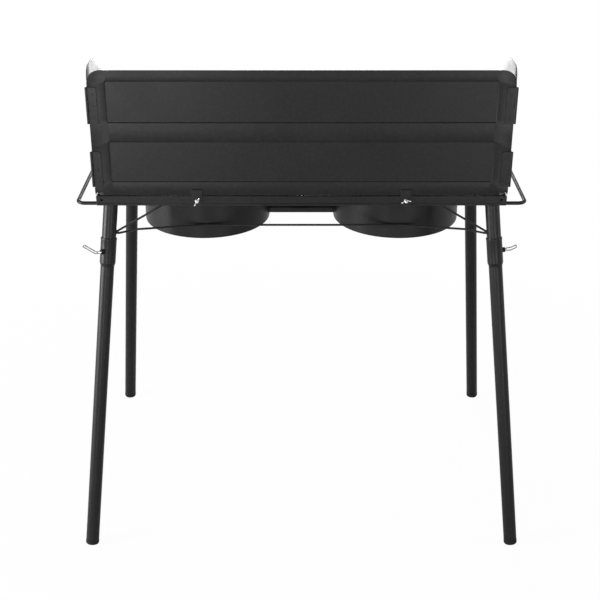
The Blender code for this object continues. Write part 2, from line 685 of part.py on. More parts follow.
def build_foot(name, rubber):
    """Rubber plug in the tube's end, cut flat where its head meets the floor."""
    place = leg_frame(*LEG_NAMES[name])
    bottom = -leg_length()
    head = bottom + FOOT_HEIGHT
    corner = filleted([(FOOT_RADIUS, 0, head), (FOOT_RADIUS, 0, bottom),
                       (0, 0, bottom)], FOOT_EDGE_RADIUS, closed=False)
    plug = TUBE_RADIUS - TUBE_WALL - SEAT
    profile = [(0, head + FOOT_PLUG_LENGTH), (plug, head + FOOT_PLUG_LENGTH), (plug, head)]
    profile += [(point.x, point.z) for point in corner]
    foot = add_object(f"foot_{name}", turned(name, profile), rubber, place)
    cut(foot, block("floor", (-DECK_WIDTH, -DECK_WIDTH, -CUT * 5), (DECK_WIDTH, DECK_WIDTH, 0)))
    return foot


def build_thumb_screw(name, zinc):
    """Screw with a collar and a bent wire loop, on the axis of the leg's weld nut."""
    leg_place = leg_frame(*LEG_NAMES[name], screw_turn(name))
    socket = STUB_RADIUS + RUN + SOCKET_WALL
    base = Vector((socket + WELD_NUT_LENGTH + SEAT, 0, -(SOCKET_TOP + SCREW_DEPTH)))
    toward_side = Matrix.Rotation(math.radians(90), 4, "Y")
    lever_turn = Matrix.Rotation(math.radians(SCREW_TURNS[name][1]), 4, "Z")
    place = leg_place @ Matrix.Translation(base) @ toward_side @ lever_turn
    tip = -(base.x - STUB_RADIUS - SEAT)
    profile = [(0, tip), (SCREW_RADIUS, tip), (SCREW_RADIUS, 0), (SCREW_COLLAR_RADIUS, 0),
               (SCREW_COLLAR_RADIUS, SCREW_COLLAR_LENGTH), (0, SCREW_COLLAR_LENGTH)]
    screw = add_object(f"thumb_screw_{name}", turned(name, profile, SMALL_STEPS), zinc, place)
    start = SCREW_COLLAR_LENGTH - LEVER_WIRE_RADIUS * 1.5
    bend = start + LEVER_STRAIGHT
    end_x = LEVER_BENT * math.sin(LEVER_BEND_ANGLE)
    end_z = bend + LEVER_BENT * math.cos(LEVER_BEND_ANGLE)
    width = LEVER_HALF_WIDTH
    loop = [(0, -width, start), (0, -width, bend), (end_x, -width, end_z),
            (end_x, width, end_z), (0, width, bend), (0, width, start)]
    corner = width * 0.85
    radii = [width * 0.6, 0.006, corner, corner, 0.006, width * 0.6]
    path = filleted(loop, radii, LEVER_FILLET_STEPS)
    join(screw, wire_mesh("lever", path, LEVER_WIRE_RADIUS, cyclic=True), place)
    return screw


def build_handle(side, paint):
    """Bent rod, butt welded at both ends to the lower corner of the side rail."""
    z = DECK_BOTTOM - HANDLE_DROP
    start_x = DECK_WIDTH / 2 + SEAT
    corners = [(start_x, -HANDLE_Y, z), (HANDLE_X, -HANDLE_Y, z),
               (HANDLE_X, HANDLE_Y, z), (start_x, HANDLE_Y, z)]
    path = filleted(mirrored(corners, SIDES[side]), HANDLE_BEND, closed=False)
    return wire(f"side_handle_{side}", path, HANDLE_RADIUS, paint)


def build_truss(end, sign_y, paint):
    """One bent rod: rail, down to the stub, in to the drum, across, and back the same way."""
    stub_x, stub_y = leg_point(TRUSS_Z)
    v_x = stub_x - STUB_RADIUS - TRUSS_RADIUS - SEAT
    kink_x = DRUM_X - TRUSS_KINK_OFFSET
    kink_y = DRUM_RADIUS + TRUSS_RADIUS + SEAT
    top_z = DECK_BOTTOM - SEAT - TRUSS_RADIUS * 1.2
    half = [(TRUSS_TOP_X, sign_y * TRUSS_TOP_Y, top_z),
            (v_x, sign_y * stub_y, TRUSS_Z + TRUSS_V_RISE),
            (v_x, sign_y * stub_y, TRUSS_Z - TRUSS_V_RISE * 0.25),
            (TRUSS_ELBOW_X, sign_y * TRUSS_ELBOW_Y, TRUSS_Z),
            (kink_x, sign_y * kink_y, TRUSS_Z)]
    radii = [0, TRUSS_V_RADIUS, TRUSS_V_RADIUS, TRUSS_ELBOW_RADIUS, TRUSS_KINK_RADIUS]
    points = mirrored(half, -1) + list(reversed(half))
    path = filleted(points, radii + radii[::-1], closed=False)
    return wire(f"truss_rod_{end}", path, TRUSS_RADIUS, paint)


def build_drum(side, paint):
    wall = DRUM_RADIUS - DRUM_WALL
    profile = [(DRUM_RADIUS - DRUM_LIP, DRUM_BOTTOM), (DRUM_RADIUS, DRUM_BOTTOM),
               (DRUM_RADIUS, DRUM_TOP - DRUM_WALL), (DRUM_RADIUS + DRUM_RIM, DRUM_TOP - DRUM_WALL),
               (DRUM_RADIUS + DRUM_RIM, DRUM_TOP), (wall, DRUM_TOP), (wall, DRUM_BOTTOM + DRUM_WALL),
               (DRUM_RADIUS - DRUM_LIP, DRUM_BOTTOM + DRUM_WALL)]
    sign = SIDES[side]
    x = sign * DRUM_X
    drum = add_object(f"burner_drum_{side}", turned("drum", profile, DRUM_STEPS), paint,
                      Matrix.Translation((x, 0, 0)))
    half = BAR_WIDTH / 2 + RUN
    slot_x = sorted((0.0, sign * (DRUM_X - DRUM_RADIUS / 2)))
    cut(drum, block("bar_slot", (slot_x[0], -half, BAR_BOTTOM - RUN),
                    (slot_x[1], half, BAR_BOTTOM + BAR_HEIGHT + RUN)))
    cut(drum, rod_cylinder("mixer_hole", MIXER_RADIUS + RUN * 2, (x, DRUM_RADIUS / 2, BURNER_AXIS_Z),
                           (x, DRUM_RADIUS + CUT, BURNER_AXIS_Z), ROUND_STEPS))
    return drum


def build_support_bar(paint):
    """Inverted channel that runs through both drums and carries both burners."""
    half = BAR_WIDTH / 2
    top = BAR_BOTTOM + BAR_HEIGHT
    reach = DRUM_X + DRUM_RADIUS - DRUM_WALL
    drop = (half / reach) ** 2 * reach / 2
    end = reach - drop * 4 - SEAT
    outline = [(-end, -half, BAR_BOTTOM), (-end, -half, top), (-end, half, top), (-end, half, BAR_BOTTOM),
               (-end, half - BAR_WALL, BAR_BOTTOM), (-end, half - BAR_WALL, top - BAR_WALL),
               (-end, -half + BAR_WALL, top - BAR_WALL), (-end, -half + BAR_WALL, BAR_BOTTOM)]
    return add_object("burner_support_bar", prism("bar", outline, (2 * end, 0, 0)), paint)


def build_burner(side, iron):
    """Cast ring burner: foot on the bar, flared head with ports round the rim, side inlet."""
    base = BURNER_BASE
    rim = BURNER_RADIUS
    profile = [(0, base), (BURNER_FOOT_RADIUS, base), (BURNER_FOOT_RADIUS, base + BURNER_FOOT_HEIGHT)]
    profile += [(BURNER_THROAT_RADIUS, base + BURNER_THROAT_RISE),
                (BURNER_NECK_RADIUS, base + BURNER_NECK_RISE),
                (rim - BURNER_BOWL_INSET, base + BURNER_BOWL_RISE), (rim, base + BURNER_RIM_RISE),
                (rim, BURNER_TOP - 0.006), (rim - 0.005, BURNER_TOP),
                (BURNER_WELL_RADIUS + 0.003, BURNER_TOP), (BURNER_WELL_RADIUS, BURNER_TOP - 0.004),
                (BURNER_WELL_RADIUS / 3, BURNER_TOP - 0.005), (0, BURNER_TOP - 0.003)]
    x = SIDES[side] * DRUM_X
    burner = add_object(f"burner_head_{side}", turned("burner", profile, BURNER_STEPS), iron,
                        Matrix.Translation((x, 0, 0)))
    boss = MIXER_RADIUS + RUN + 0.0025
    join(burner, rod_cylinder("inlet_boss", boss, (x, 0, BURNER_AXIS_Z),
                              (x, MIXER_SOCKET_Y, BURNER_AXIS_Z), ROUND_STEPS))
    bore_end = MIXER_SOCKET_Y - MIXER_SOCKET_DEPTH
    cut(burner, rod_cylinder("inlet_bore", MIXER_RADIUS + RUN, (x, bore_end, BURNER_AXIS_Z),
                             (x, MIXER_SOCKET_Y + CUT, BURNER_AXIS_Z), ROUND_STEPS))
    bm = bmesh.new()
    for port in range(BURNER_PORTS):
        angle = 2 * math.pi * (port + 0.5) / BURNER_PORTS
        turn = Matrix.Rotation(angle, 4, "Z")
        shift = Matrix.Translation((rim, 0, BURNER_TOP - 0.002 - PORT_HEIGHT / 2))
        size = Matrix.Diagonal((0.012, PORT_WIDTH, PORT_HEIGHT, 1))
        bmesh.ops.create_cube(bm, size=1, matrix=turn @ shift @ size)
    cut(burner, finish_mesh("ports", bm), Matrix.Translation((x, 0, 0)))
    return burner


def build_mixer(side, steel):
    """Mixer tube from the burner's inlet out through the drum to a bell mouth at the jet."""
    inner = MIXER_RADIUS - MIXER_WALL
    start = MIXER_SOCKET_Y - MIXER_SOCKET_DEPTH + 0.002
    bell_end = VALVE_REAR_Y - JET_LENGTH + MIXER_BELL_LENGTH * 0.35
    bell_start = bell_end - MIXER_BELL_LENGTH
    length = bell_end - start
    shoulder = bell_start - start
    bell_inner = MIXER_BELL_RADIUS - MIXER_WALL
    profile = [(inner, 0), (MIXER_RADIUS, 0), (MIXER_RADIUS, shoulder),
               (MIXER_BELL_RADIUS, shoulder + 0.003), (MIXER_BELL_RADIUS, length), (bell_inner, length),
               (bell_inner, shoulder + 0.003), (inner, shoulder)]
    x = SIDES[side] * DRUM_X
    place = Matrix.Translation((x, start, BURNER_AXIS_Z)) @ Matrix.Rotation(math.radians(-90), 4, "X")
    tube = add_object(f"mixer_tube_{side}", turned("mixer", profile), steel, place)
    slot_start = bell_start + 0.0045
    for sign in SIDES.values():
        low_x = x + sign * inner
        high_x = x + sign * (MIXER_BELL_RADIUS + CUT)
        cut(tube, block("air_slot", (min(low_x, high_x), slot_start, BURNER_AXIS_Z - AIR_SLOT_WIDTH / 2),
                        (max(low_x, high_x), slot_start + AIR_SLOT_LENGTH * 0.8,
                         BURNER_AXIS_Z + AIR_SLOT_WIDTH / 2)))
    return tube


def build_valve(side, brass):
    """Brass valve: jet at the rear, bonnet up to the panel at the front, inlet neck below."""
    x = SIDES[side] * DRUM_X
    body = VALVE_BODY_LENGTH
    front = DECK_DEPTH / 2 - SHEET - SEAT - VALVE_REAR_Y
    bearing = STEM_RADIUS + RUN
    profile = [(0, -JET_LENGTH), (JET_RADIUS * 0.7, -JET_LENGTH), (JET_RADIUS, -JET_LENGTH + 0.002),
               (JET_RADIUS, 0), (VALVE_RADIUS, 0), (VALVE_RADIUS, body),
               (VALVE_BONNET_RADIUS, body), (VALVE_BONNET_RADIUS, front),
               (bearing, front), (bearing, front - STEM_BEARING_DEPTH), (0, front - STEM_BEARING_DEPTH)]
    place = Matrix.Translation((x, VALVE_REAR_Y, BURNER_AXIS_Z)) @ Matrix.Rotation(math.radians(-90), 4, "X")
    valve = add_object(f"gas_valve_{side}", turned("valve", profile, SMALL_STEPS), brass, place)
    pipe_top = BURNER_AXIS_Z - MANIFOLD_DROP + MANIFOLD_RADIUS + SEAT
    join(valve, rod_cylinder("neck", VALVE_NECK_RADIUS, (x, MANIFOLD_Y, BURNER_AXIS_Z - VALVE_RADIUS / 2),
                             (x, MANIFOLD_Y, pipe_top)))
    return valve


def build_gas_line(brass, steel):
    z = BURNER_AXIS_Z - MANIFOLD_DROP
    along_x = Matrix.Rotation(math.radians(90), 4, "Y")
    length = MANIFOLD_LEFT + MANIFOLD_RIGHT
    pipe_profile = [(0, 0), (MANIFOLD_RADIUS, 0), (MANIFOLD_RADIUS, length), (MANIFOLD_BORE, length),
                    (MANIFOLD_BORE, 0.004), (0, 0.004)]
    manifold = add_object("gas_manifold", turned("manifold", pipe_profile, SMALL_STEPS), steel,
                          Matrix.Translation((-MANIFOLD_LEFT, MANIFOLD_Y, z)) @ along_x)
    bore = MANIFOLD_BORE * 0.6
    inlet_profile = [(bore, -0.008), (MANIFOLD_BORE - RUN, -0.008), (MANIFOLD_BORE - RUN, 0),
                     (INLET_RADIUS, 0), (INLET_RADIUS, INLET_LENGTH * 0.4),
                     (INLET_RADIUS * 0.8, INLET_LENGTH * 0.42), (INLET_RADIUS * 0.8, INLET_LENGTH * 0.85),
                     (INLET_RADIUS * 0.55, INLET_LENGTH), (bore, INLET_LENGTH)]
    inlet = add_object("hose_inlet", turned("inlet", inlet_profile, SMALL_STEPS), brass,
                       Matrix.Translation((MANIFOLD_RIGHT + SEAT, MANIFOLD_Y, z)) @ along_x)
    return manifold, inlet


def build_control_panel(paint):
    front = DECK_DEPTH / 2
    high = DECK_BOTTOM - SEAT
    low = high - PANEL_HEIGHT
    section = [(front, high), (front, low), (front - PANEL_BOTTOM_FLANGE, low),
               (front - PANEL_BOTTOM_FLANGE, low + SHEET), (front - SHEET, low + SHEET),
               (front - SHEET, high - SHEET), (front - PANEL_TOP_FLANGE, high - SHEET),
               (front - PANEL_TOP_FLANGE, high)]
    outline = [(-PANEL_HALF_WIDTH, y, z) for y, z in section]
    panel = add_object("control_panel", prism("panel", outline, (2 * PANEL_HALF_WIDTH, 0, 0)), paint)
    for sign in SIDES.values():
        cut(panel, rod_cylinder("stem_hole", STEM_RADIUS + 0.002, (sign * DRUM_X, front - CUT, BURNER_AXIS_Z),
                                (sign * DRUM_X, front + CUT, BURNER_AXIS_Z)))
    return panel


def build_knob(side, plastic, brass):
    """Knob with a raised grip bar, pressed on a brass valve stem."""
    x = SIDES[side] * DRUM_X
    back = DECK_DEPTH / 2 + KNOB_STANDOFF
    place = Matrix.Translation((x, back, BURNER_AXIS_Z)) @ Matrix.Rotation(math.radians(-90), 4, "X")
    socket = STEM_RADIUS + SEAT
    depth = KNOB_DEPTH - KNOB_GRIP_HEIGHT
    rim = filleted([(KNOB_RADIUS, 0, 0), (KNOB_RADIUS * 0.93, 0, depth), (0, 0, depth)], 0.002, 3, False)
    profile = [(socket, 0.010), (socket, 0)] + [(point.x, point.z) for point in rim] + [(0, 0.010)]
    profile = [(0, 0.010)] + profile[:-1]
    knob = add_object(f"knob_{side}", turned("knob", profile), plastic, place)
    grip_length = KNOB_RADIUS * 0.86
    grip_half = KNOB_GRIP_WIDTH / 2
    grip = filleted([(-grip_half, -grip_length, depth - 0.002), (grip_half, -grip_length, depth - 0.002),
                     (grip_half, grip_length, depth - 0.002), (-grip_half, grip_length, depth - 0.002)],
                    grip_half * 0.9, 4)
    join(knob, prism("grip", grip, (0, 0, KNOB_GRIP_HEIGHT + 0.002)), place)
    stem_start = DECK_DEPTH / 2 - SHEET - STEM_BEARING_DEPTH
    stem = add_object(f"valve_stem_{side}",
                      turned("stem", [(0, 0), (STEM_RADIUS, 0), (STEM_RADIUS, back + 0.010 - SEAT - stem_start),
                                      (0, back + 0.010 - SEAT - stem_start)], SMALL_STEPS), brass,
                      Matrix.Translation((x, stem_start, BURNER_AXIS_Z)) @ Matrix.Rotation(math.radians(-90), 4, "X"))
    return knob, stem


def build_grate(side, iron):
    """Welded grate: an edge frame with long bars front to back and two cross bars."""
    sign = SIDES[side]
    inner = GRATE_MIDDLE_GAP / 2
    outer = DECK_WIDTH / 2 - RAIL_WALL - GRATE_SIDE_GAP
    half_y = DECK_DEPTH / 2 - RAIL_WALL - GRATE_END_GAP
    pitch = (outer - inner - GRATE_EDGE) / (GRATE_LONG_BARS + 1)
    x_bars = [(inner, inner + GRATE_EDGE)]
    for index in range(GRATE_LONG_BARS):
        centre = inner + GRATE_EDGE / 2 + pitch * (index + 1)
        x_bars.append((centre - GRATE_BAR / 2, centre + GRATE_BAR / 2))
    x_bars.append((outer - GRATE_EDGE, outer))
    y_bars = [(-half_y, -half_y + GRATE_EDGE)]
    for centre in (-GRATE_CROSS_BAR_Y, GRATE_CROSS_BAR_Y):
        y_bars.append((centre - GRATE_BAR / 2, centre + GRATE_BAR / 2))
    y_bars.append((half_y - GRATE_EDGE, half_y))
    xs = [value for bar in x_bars for value in bar]
    ys = [value for bar in y_bars for value in bar]
    bottom = DECK_BOTTOM + RAIL_WALL + SEAT
    bm = bmesh.new()
    grid = [[bm.verts.new((sign * x, y, bottom)) for y in ys] for x in xs]
    for column in range(len(xs) - 1):
        for row in range(len(ys) - 1):
            if column % 2 == 0 or row % 2 == 0:
                bm.faces.new((grid[column][row], grid[column + 1][row],
                              grid[column + 1][row + 1], grid[column][row + 1]))
    grown = bmesh.ops.extrude_face_region(bm, geom=list(bm.faces))
    moved = [item for item in grown["geom"] if isinstance(item, bmesh.types.BMVert)]
    bmesh.ops.translate(bm, verts=moved, vec=(0, 0, GRATE_HEIGHT))
    name = f"grate_{side}"
    return add_object(name, finish_mesh(name, bm), iron)


def build_stove():
    clear_scene()
    paint = make_material("black_powder_coat", (0.040, 0.040, 0.042), 0.55, 0.0)
    drum_paint = make_material("black_heat_paint", (0.035, 0.035, 0.037), 0.45, 0.0)
    zinc = make_material("zinc_plated_steel", (0.70, 0.71, 0.73), 0.28, 1.0)
    brass = make_material("turned_brass", (0.62, 0.46, 0.20), 0.32, 1.0)
    iron = make_material("cast_iron", (0.075, 0.072, 0.070), 0.70, 0.6)
    grate_iron = make_material("grate_enamel", (0.030, 0.030, 0.031), 0.40, 0.0)
    pipe_steel = make_material("drawn_steel", (0.45, 0.45, 0.46), 0.40, 1.0)
    plastic = make_material("black_phenolic", (0.020, 0.020, 0.020), 0.38, 0.0)
    rubber = make_material("black_rubber", (0.022, 0.022, 0.022), 0.75, 0.0)
    build_deck_frame(paint)
    build_control_panel(paint)
    build_back_screen(paint)
    build_support_bar(paint)
    build_gas_line(brass, pipe_steel)
    build_truss("rear", -1, paint)
    build_truss("front", 1, paint)
    for name in LEG_NAMES:
        build_stub(name, paint)
        build_leg(name, paint)
        build_foot(name, rubber)
        build_thumb_screw(name, zinc)
    for side in SIDES:
        build_side_screen(side, paint)
        build_hinge(side, "lower", HINGE_LOWER_Z, paint)
        build_hinge(side, "upper", HINGE_UPPER_Z, paint)
        build_clip_set(side, paint, zinc)
        build_handle(side, paint)
        build_drum(side, drum_paint)
        build_burner(side, iron)
        build_mixer(side, pipe_steel)
        build_valve(side, brass)
        build_knob(side, plastic, brass)
        build_grate(side, grate_iron)


build_stove()
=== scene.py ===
"""Two-burner camp gas stove with a three-sided wind screen, standing on four splayed legs."""
import math

import bmesh
import bpy
from mathutils import Matrix, Vector


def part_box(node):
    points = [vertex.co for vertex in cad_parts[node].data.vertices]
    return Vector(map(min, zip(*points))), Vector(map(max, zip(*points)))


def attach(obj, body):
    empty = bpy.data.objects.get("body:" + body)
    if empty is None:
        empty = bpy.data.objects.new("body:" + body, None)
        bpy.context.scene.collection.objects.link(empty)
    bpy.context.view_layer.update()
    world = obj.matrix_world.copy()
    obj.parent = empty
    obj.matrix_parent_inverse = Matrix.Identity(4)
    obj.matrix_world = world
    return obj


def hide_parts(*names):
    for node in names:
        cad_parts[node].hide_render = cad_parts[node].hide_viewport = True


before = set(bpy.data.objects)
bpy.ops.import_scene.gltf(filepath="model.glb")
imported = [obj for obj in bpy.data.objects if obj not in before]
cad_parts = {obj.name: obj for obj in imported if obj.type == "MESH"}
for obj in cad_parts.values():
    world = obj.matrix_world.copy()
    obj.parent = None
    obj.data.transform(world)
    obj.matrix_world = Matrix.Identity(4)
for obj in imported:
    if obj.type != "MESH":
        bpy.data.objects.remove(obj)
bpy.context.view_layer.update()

# Deck frame. Angle rail pressed from 2 mm steel, with a rounded outer corner and a rolled bead along its
# lower edge, mitred and welded, a flat strip across the middle and a gusset plate in each corner. It is
# powder coated with everything welded to it.
DECK_HALF_X = 0.410
DECK_HALF_Y = 0.194
DECK_BOTTOM = 0.7434
DECK_TOP = 0.7634
DECK_CORNER = 0.0025
RAIL_WALL = 0.002
RAIL_FLANGE = 0.023
RAIL_BEAD = 0.0021
STRIP_LOW = 0.7437
STRIP_HIGH = 0.7451
STRIP_HALF_X = 0.015
STRIP_HALF_Y = 0.182
GUSSET = 0.064
GUSSET_INSET = 0.0115
HOLE_Z = 0.7544
CORNER_HOLE = 0.0024
CORNER_HOLE_X = 0.399
CLIP_HOLE = 0.0028
CLIP_X = 0.208
SIDES = {"left": -1, "right": 1}


def linear(hex_colour):
    """An sRGB hex colour as linear red, green, blue and alpha."""
    values = [int(hex_colour[index:index + 2], 16) / 255 for index in (1, 3, 5)]
    steps = [value / 12.92 if value <= 0.04045 else ((value + 0.055) / 1.055) ** 2.4 for value in values]
    return (*steps, 1.0)


def plug(tree, node, inputs):
    """Give a node its inputs. A plain value is set, and another node's socket is linked."""
    for key, value in inputs.items():
        if isinstance(value, bpy.types.NodeSocket):
            tree.links.new(value, node.inputs[key])
        else:
            node.inputs[key].default_value = value


def add(tree, kind, inputs=None, **settings):
    """Add a node with its settings and inputs."""
    node = tree.nodes.new(kind)
    for name, value in settings.items():
        setattr(node, name, value)
    plug(tree, node, inputs or {})
    return node


def new_finish(name):
    """An empty material with its shader, and the object's own coordinates in metres."""
    material = bpy.data.materials.new(name)
    material.use_nodes = True
    tree = material.node_tree
    shader = tree.nodes["Principled BSDF"]
    place = add(tree, "ShaderNodeTexCoord").outputs["Object"]
    return material, tree, shader, place


def powder_coat(name):
    """Matt polyester powder baked on steel: an even black skin with a fine orange peel of about 1.2 mm,
    faintly uneven gloss in patches some 90 mm across, and a little dust caught in the peel. Its matting agent
    scatters most of the mirror reflection, so the specular level is low."""
    material, tree, shader, place = new_finish(name)
    patch = add(tree, "ShaderNodeTexNoise", {"Vector": place, "Scale": 1 / 0.09, "Detail": 3.0})
    gloss = add(tree, "ShaderNodeMapRange", {"Value": patch.outputs["Fac"], "From Min": 0.3, "From Max": 0.7,
                                            "To Min": 0.32, "To Max": 0.40})
    peel = add(tree, "ShaderNodeTexNoise", {"Vector": place, "Scale": 1 / 0.0012, "Detail": 2.0})
    grain = add(tree, "ShaderNodeTexNoise", {"Vector": place, "Scale": 1 / 0.006, "Detail": 4.0})
    dust = add(tree, "ShaderNodeMapRange", {"Value": grain.outputs["Fac"], "From Min": 0.45, "From Max": 0.8,
                                           "To Min": 0.0, "To Max": 0.03})
    tone = add(tree, "ShaderNodeMix", {"Factor": dust.outputs["Result"], "A": linear("#0f0f10"),
                                      "B": linear("#77746f")}, data_type="RGBA")
    bump = add(tree, "ShaderNodeBump", {"Height": peel.outputs["Fac"], "Strength": 0.10, "Distance": 0.0002})
    plug(tree, shader, {"Base Color": tone.outputs["Result"], "Roughness": gloss.outputs["Result"],
                        "Normal": bump.outputs["Normal"], "Specular IOR Level": 0.2})
    return material


black_powder = powder_coat("powder_coated_steel")


def to_mesh(name, shape, *materials, smooth_angle=35):
    """A finished bmesh as an object at the origin, with smooth round sides and sharp edges."""
    mesh = bpy.data.meshes.new(name)
    shape.to_mesh(mesh)
    shape.free()
    mesh.shade_smooth()
    mesh.set_sharp_from_angle(angle=math.radians(smooth_angle))
    for material in materials:
        mesh.materials.append(material)
    piece = bpy.data.objects.new(name, mesh)
    bpy.context.scene.collection.objects.link(piece)
    return piece


def apply_modifiers(piece):
    """Turn the shape that the modifiers give into the piece's own plain mesh."""
    graph = bpy.context.evaluated_depsgraph_get()
    mesh = bpy.data.meshes.new_from_object(piece.evaluated_get(graph))
    old = piece.data
    piece.modifiers.clear()
    if piece.type == "MESH":
        piece.data = mesh
        return piece
    plain = bpy.data.objects.new(piece.name, mesh)
    name = piece.name
    bpy.context.scene.collection.objects.link(plain)
    bpy.data.objects.remove(piece)
    bpy.data.curves.remove(old)
    plain.name = name
    return plain


def drill(piece, cutters):
    """Cut closed shapes out of a piece."""
    tool = to_mesh("drill", cutters, piece.data.materials[0])
    boolean = piece.modifiers.new("drilled", "BOOLEAN")
    boolean.operation = "DIFFERENCE"
    boolean.object = tool
    boolean.use_self = True
    apply_modifiers(piece)
    bpy.data.objects.remove(tool)


def take_in(shape, piece, slot=0):
    """Move a piece's mesh into a growing shape, with its faces on one material slot."""
    first_face = len(shape.faces)
    shape.from_mesh(piece.data)
    shape.faces.ensure_lookup_table()
    for face in shape.faces[first_face:]:
        face.material_index = slot
    bpy.data.objects.remove(piece)


def fit(piece, body, slot, *nodes):
    """Fix a finished piece to its body, and let it stand for its CAD nodes."""
    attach(piece, body)
    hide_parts(*nodes)


def add_bar(shape, low, high):
    """A plain rectangular bar between two corners."""
    middle = [(a + b) / 2 for a, b in zip(low, high)]
    size = [b - a for a, b in zip(low, high)]
    matrix = Matrix.Translation(middle) @ Matrix.Diagonal((*size, 1))
    bmesh.ops.create_cube(shape, size=1, matrix=matrix)


def add_pin(shape, radius, start, end, steps=24):
    """A round pin or hole cutter between two points."""
    start = Vector(start)
    end = Vector(end)
    turn = Vector((0, 0, 1)).rotation_difference(end - start).to_matrix().to_4x4()
    matrix = Matrix.Translation((start + end) / 2) @ turn
    bmesh.ops.create_cone(shape, cap_ends=True, segments=steps, radius1=radius, radius2=radius,
                          depth=(end - start).length, matrix=matrix)


def add_plate(shape, outline, depth):
    """A flat plate: a closed outline of points, pushed through by a depth vector."""
    face = shape.faces.new([shape.verts.new(point) for point in outline])
    grown = bmesh.ops.extrude_face_region(shape, geom=[face])
    moved = [item for item in grown["geom"] if isinstance(item, bmesh.types.BMVert)]
    bmesh.ops.translate(shape, verts=moved, vec=depth)
    bmesh.ops.recalc_face_normals(shape, faces=shape.faces)


def arc_points(centre_u, centre_v, radius, start, end, steps=10):
    """Points of an arc in a plane, from one angle to another in degrees."""
    angles = [math.radians(start + (end - start) * step / steps) for step in range(steps + 1)]
    return [(centre_u + radius * math.cos(angle), centre_v + radius * math.sin(angle)) for angle in angles]


def rounded_ring(half_x, half_y, radius, z):
    """Points of a rectangle with rounded corners at one height."""
    ring = []
    for start, side_x, side_y in ((0, 1, 1), (90, -1, 1), (180, -1, -1), (270, 1, -1)):
        centre = (side_x * (half_x - radius), side_y * (half_y - radius))
        ring += arc_points(*centre, radius, start, start + 90, 5)
    return [(x, y, z) for x, y in ring]


rail_profile = [(0.0, DECK_TOP - 0.0022), (0.0, DECK_TOP - 0.0016), (0.0002, DECK_TOP - 0.0012),
                (0.0005, DECK_TOP - 0.0010), (0.0010, DECK_TOP - 0.0012),
                (RAIL_WALL - 0.0003, DECK_TOP - 0.0018), (RAIL_WALL, DECK_TOP - 0.0022),
                (RAIL_WALL, DECK_BOTTOM + 0.0036), (RAIL_WALL + 0.0005, DECK_BOTTOM + 0.0025),
                (RAIL_WALL + 0.0016, DECK_BOTTOM + RAIL_WALL),
                (RAIL_FLANGE - 0.0005, DECK_BOTTOM + RAIL_WALL),
                (RAIL_FLANGE, DECK_BOTTOM + RAIL_WALL - 0.0005), (RAIL_FLANGE, DECK_BOTTOM + 0.0005),
                (RAIL_FLANGE - 0.0005, DECK_BOTTOM), (0.0046, DECK_BOTTOM)]
rail_profile += arc_points(RAIL_BEAD, DECK_BOTTOM + 0.0006, RAIL_BEAD, 0, -220, 11)
rail_profile += [(0.0011, DECK_BOTTOM + 0.0029), (0.0011, DECK_BOTTOM + 0.0033),
                 (0.0004, DECK_BOTTOM + 0.0043), (0.0, DECK_BOTTOM + 0.0047), (0.0, DECK_BOTTOM + 0.0053)]
shape = bmesh.new()
rings = []
for inset, height in rail_profile:
    corner = max(DECK_CORNER - inset * 0.8, 0.0004)
    points = rounded_ring(DECK_HALF_X - inset, DECK_HALF_Y - inset, corner, height)
    rings.append([shape.verts.new(point) for point in points])
for ring, following in zip(rings, rings[1:] + rings[:1]):
    for index in range(len(ring)):
        beyond = (index + 1) % len(ring)
        shape.faces.new((ring[index], ring[beyond], following[beyond], following[index]))
bmesh.ops.recalc_face_normals(shape, faces=shape.faces)
deck_frame = to_mesh("deck_frame_welded", shape, black_powder)
holes = bmesh.new()
for side in SIDES.values():
    for hole_x, radius in ((CORNER_HOLE_X, CORNER_HOLE), (CLIP_X, CLIP_HOLE)):
        add_pin(holes, radius, (side * hole_x, -DECK_HALF_Y - 0.010, HOLE_Z),
                (side * hole_x, -DECK_HALF_Y + 0.010, HOLE_Z))
drill(deck_frame, holes)
shape = bmesh.new()
take_in(shape, deck_frame)
add_bar(shape, (-STRIP_HALF_X, -STRIP_HALF_Y, STRIP_LOW), (STRIP_HALF_X, STRIP_HALF_Y, STRIP_HIGH))
for side_x in (-1, 1):
    for side_y in (-1, 1):
        corner_x = side_x * (DECK_HALF_X - GUSSET_INSET)
        corner_y = side_y * (DECK_HALF_Y - GUSSET_INSET)
        add_plate(shape, [(corner_x, corner_y, STRIP_LOW), (corner_x - side_x * GUSSET, corner_y, STRIP_LOW),
                          (corner_x, corner_y - side_y * GUSSET, STRIP_LOW)], (0, 0, STRIP_HIGH - STRIP_LOW))
deck_frame = to_mesh("deck_frame_welded", shape, black_powder)
fit(deck_frame, "stove", "powder_coat", "deck_frame")

# Leg stubs. Four short 29 mm tubes welded under the deck corners, splayed out and back, that the legs slide
# over. They have the deck's black coat and open lower ends, and their tops are cut level with the deck.
STUB_RADIUS = 0.0145
STUB_BORE = 0.0129
STUB_LENGTH = 0.1284
STUB_SPARE = 0.012
STUB_CHAMFER = 0.0005
DECK_GAP = 0.0002
LEG_TOP = (0.385, 0.166)
LEG_FOOT = (0.457, 0.315)
CORNERS = {"rear_left": (-1, -1), "rear_right": (1, -1), "front_left": (-1, 1), "front_right": (1, 1)}


def leg_place(corner_name, turn=0.0):
    """Where a leg stands: origin at the deck's underside, +Z up its axis, +X outward before its turn."""
    side_x, side_y = CORNERS[corner_name]
    top = Vector((side_x * LEG_TOP[0], side_y * LEG_TOP[1], DECK_BOTTOM))
    foot = Vector((side_x * LEG_FOOT[0], side_y * LEG_FOOT[1], 0))
    up = (top - foot).normalized()
    outward = Vector((side_x, 0, 0))
    outward = (outward - up * outward.dot(up)).normalized()
    basis = Matrix((outward, up.cross(outward), up)).transposed().to_4x4()
    return Matrix.Translation(top) @ basis @ Matrix.Rotation(turn, 4, "Z")


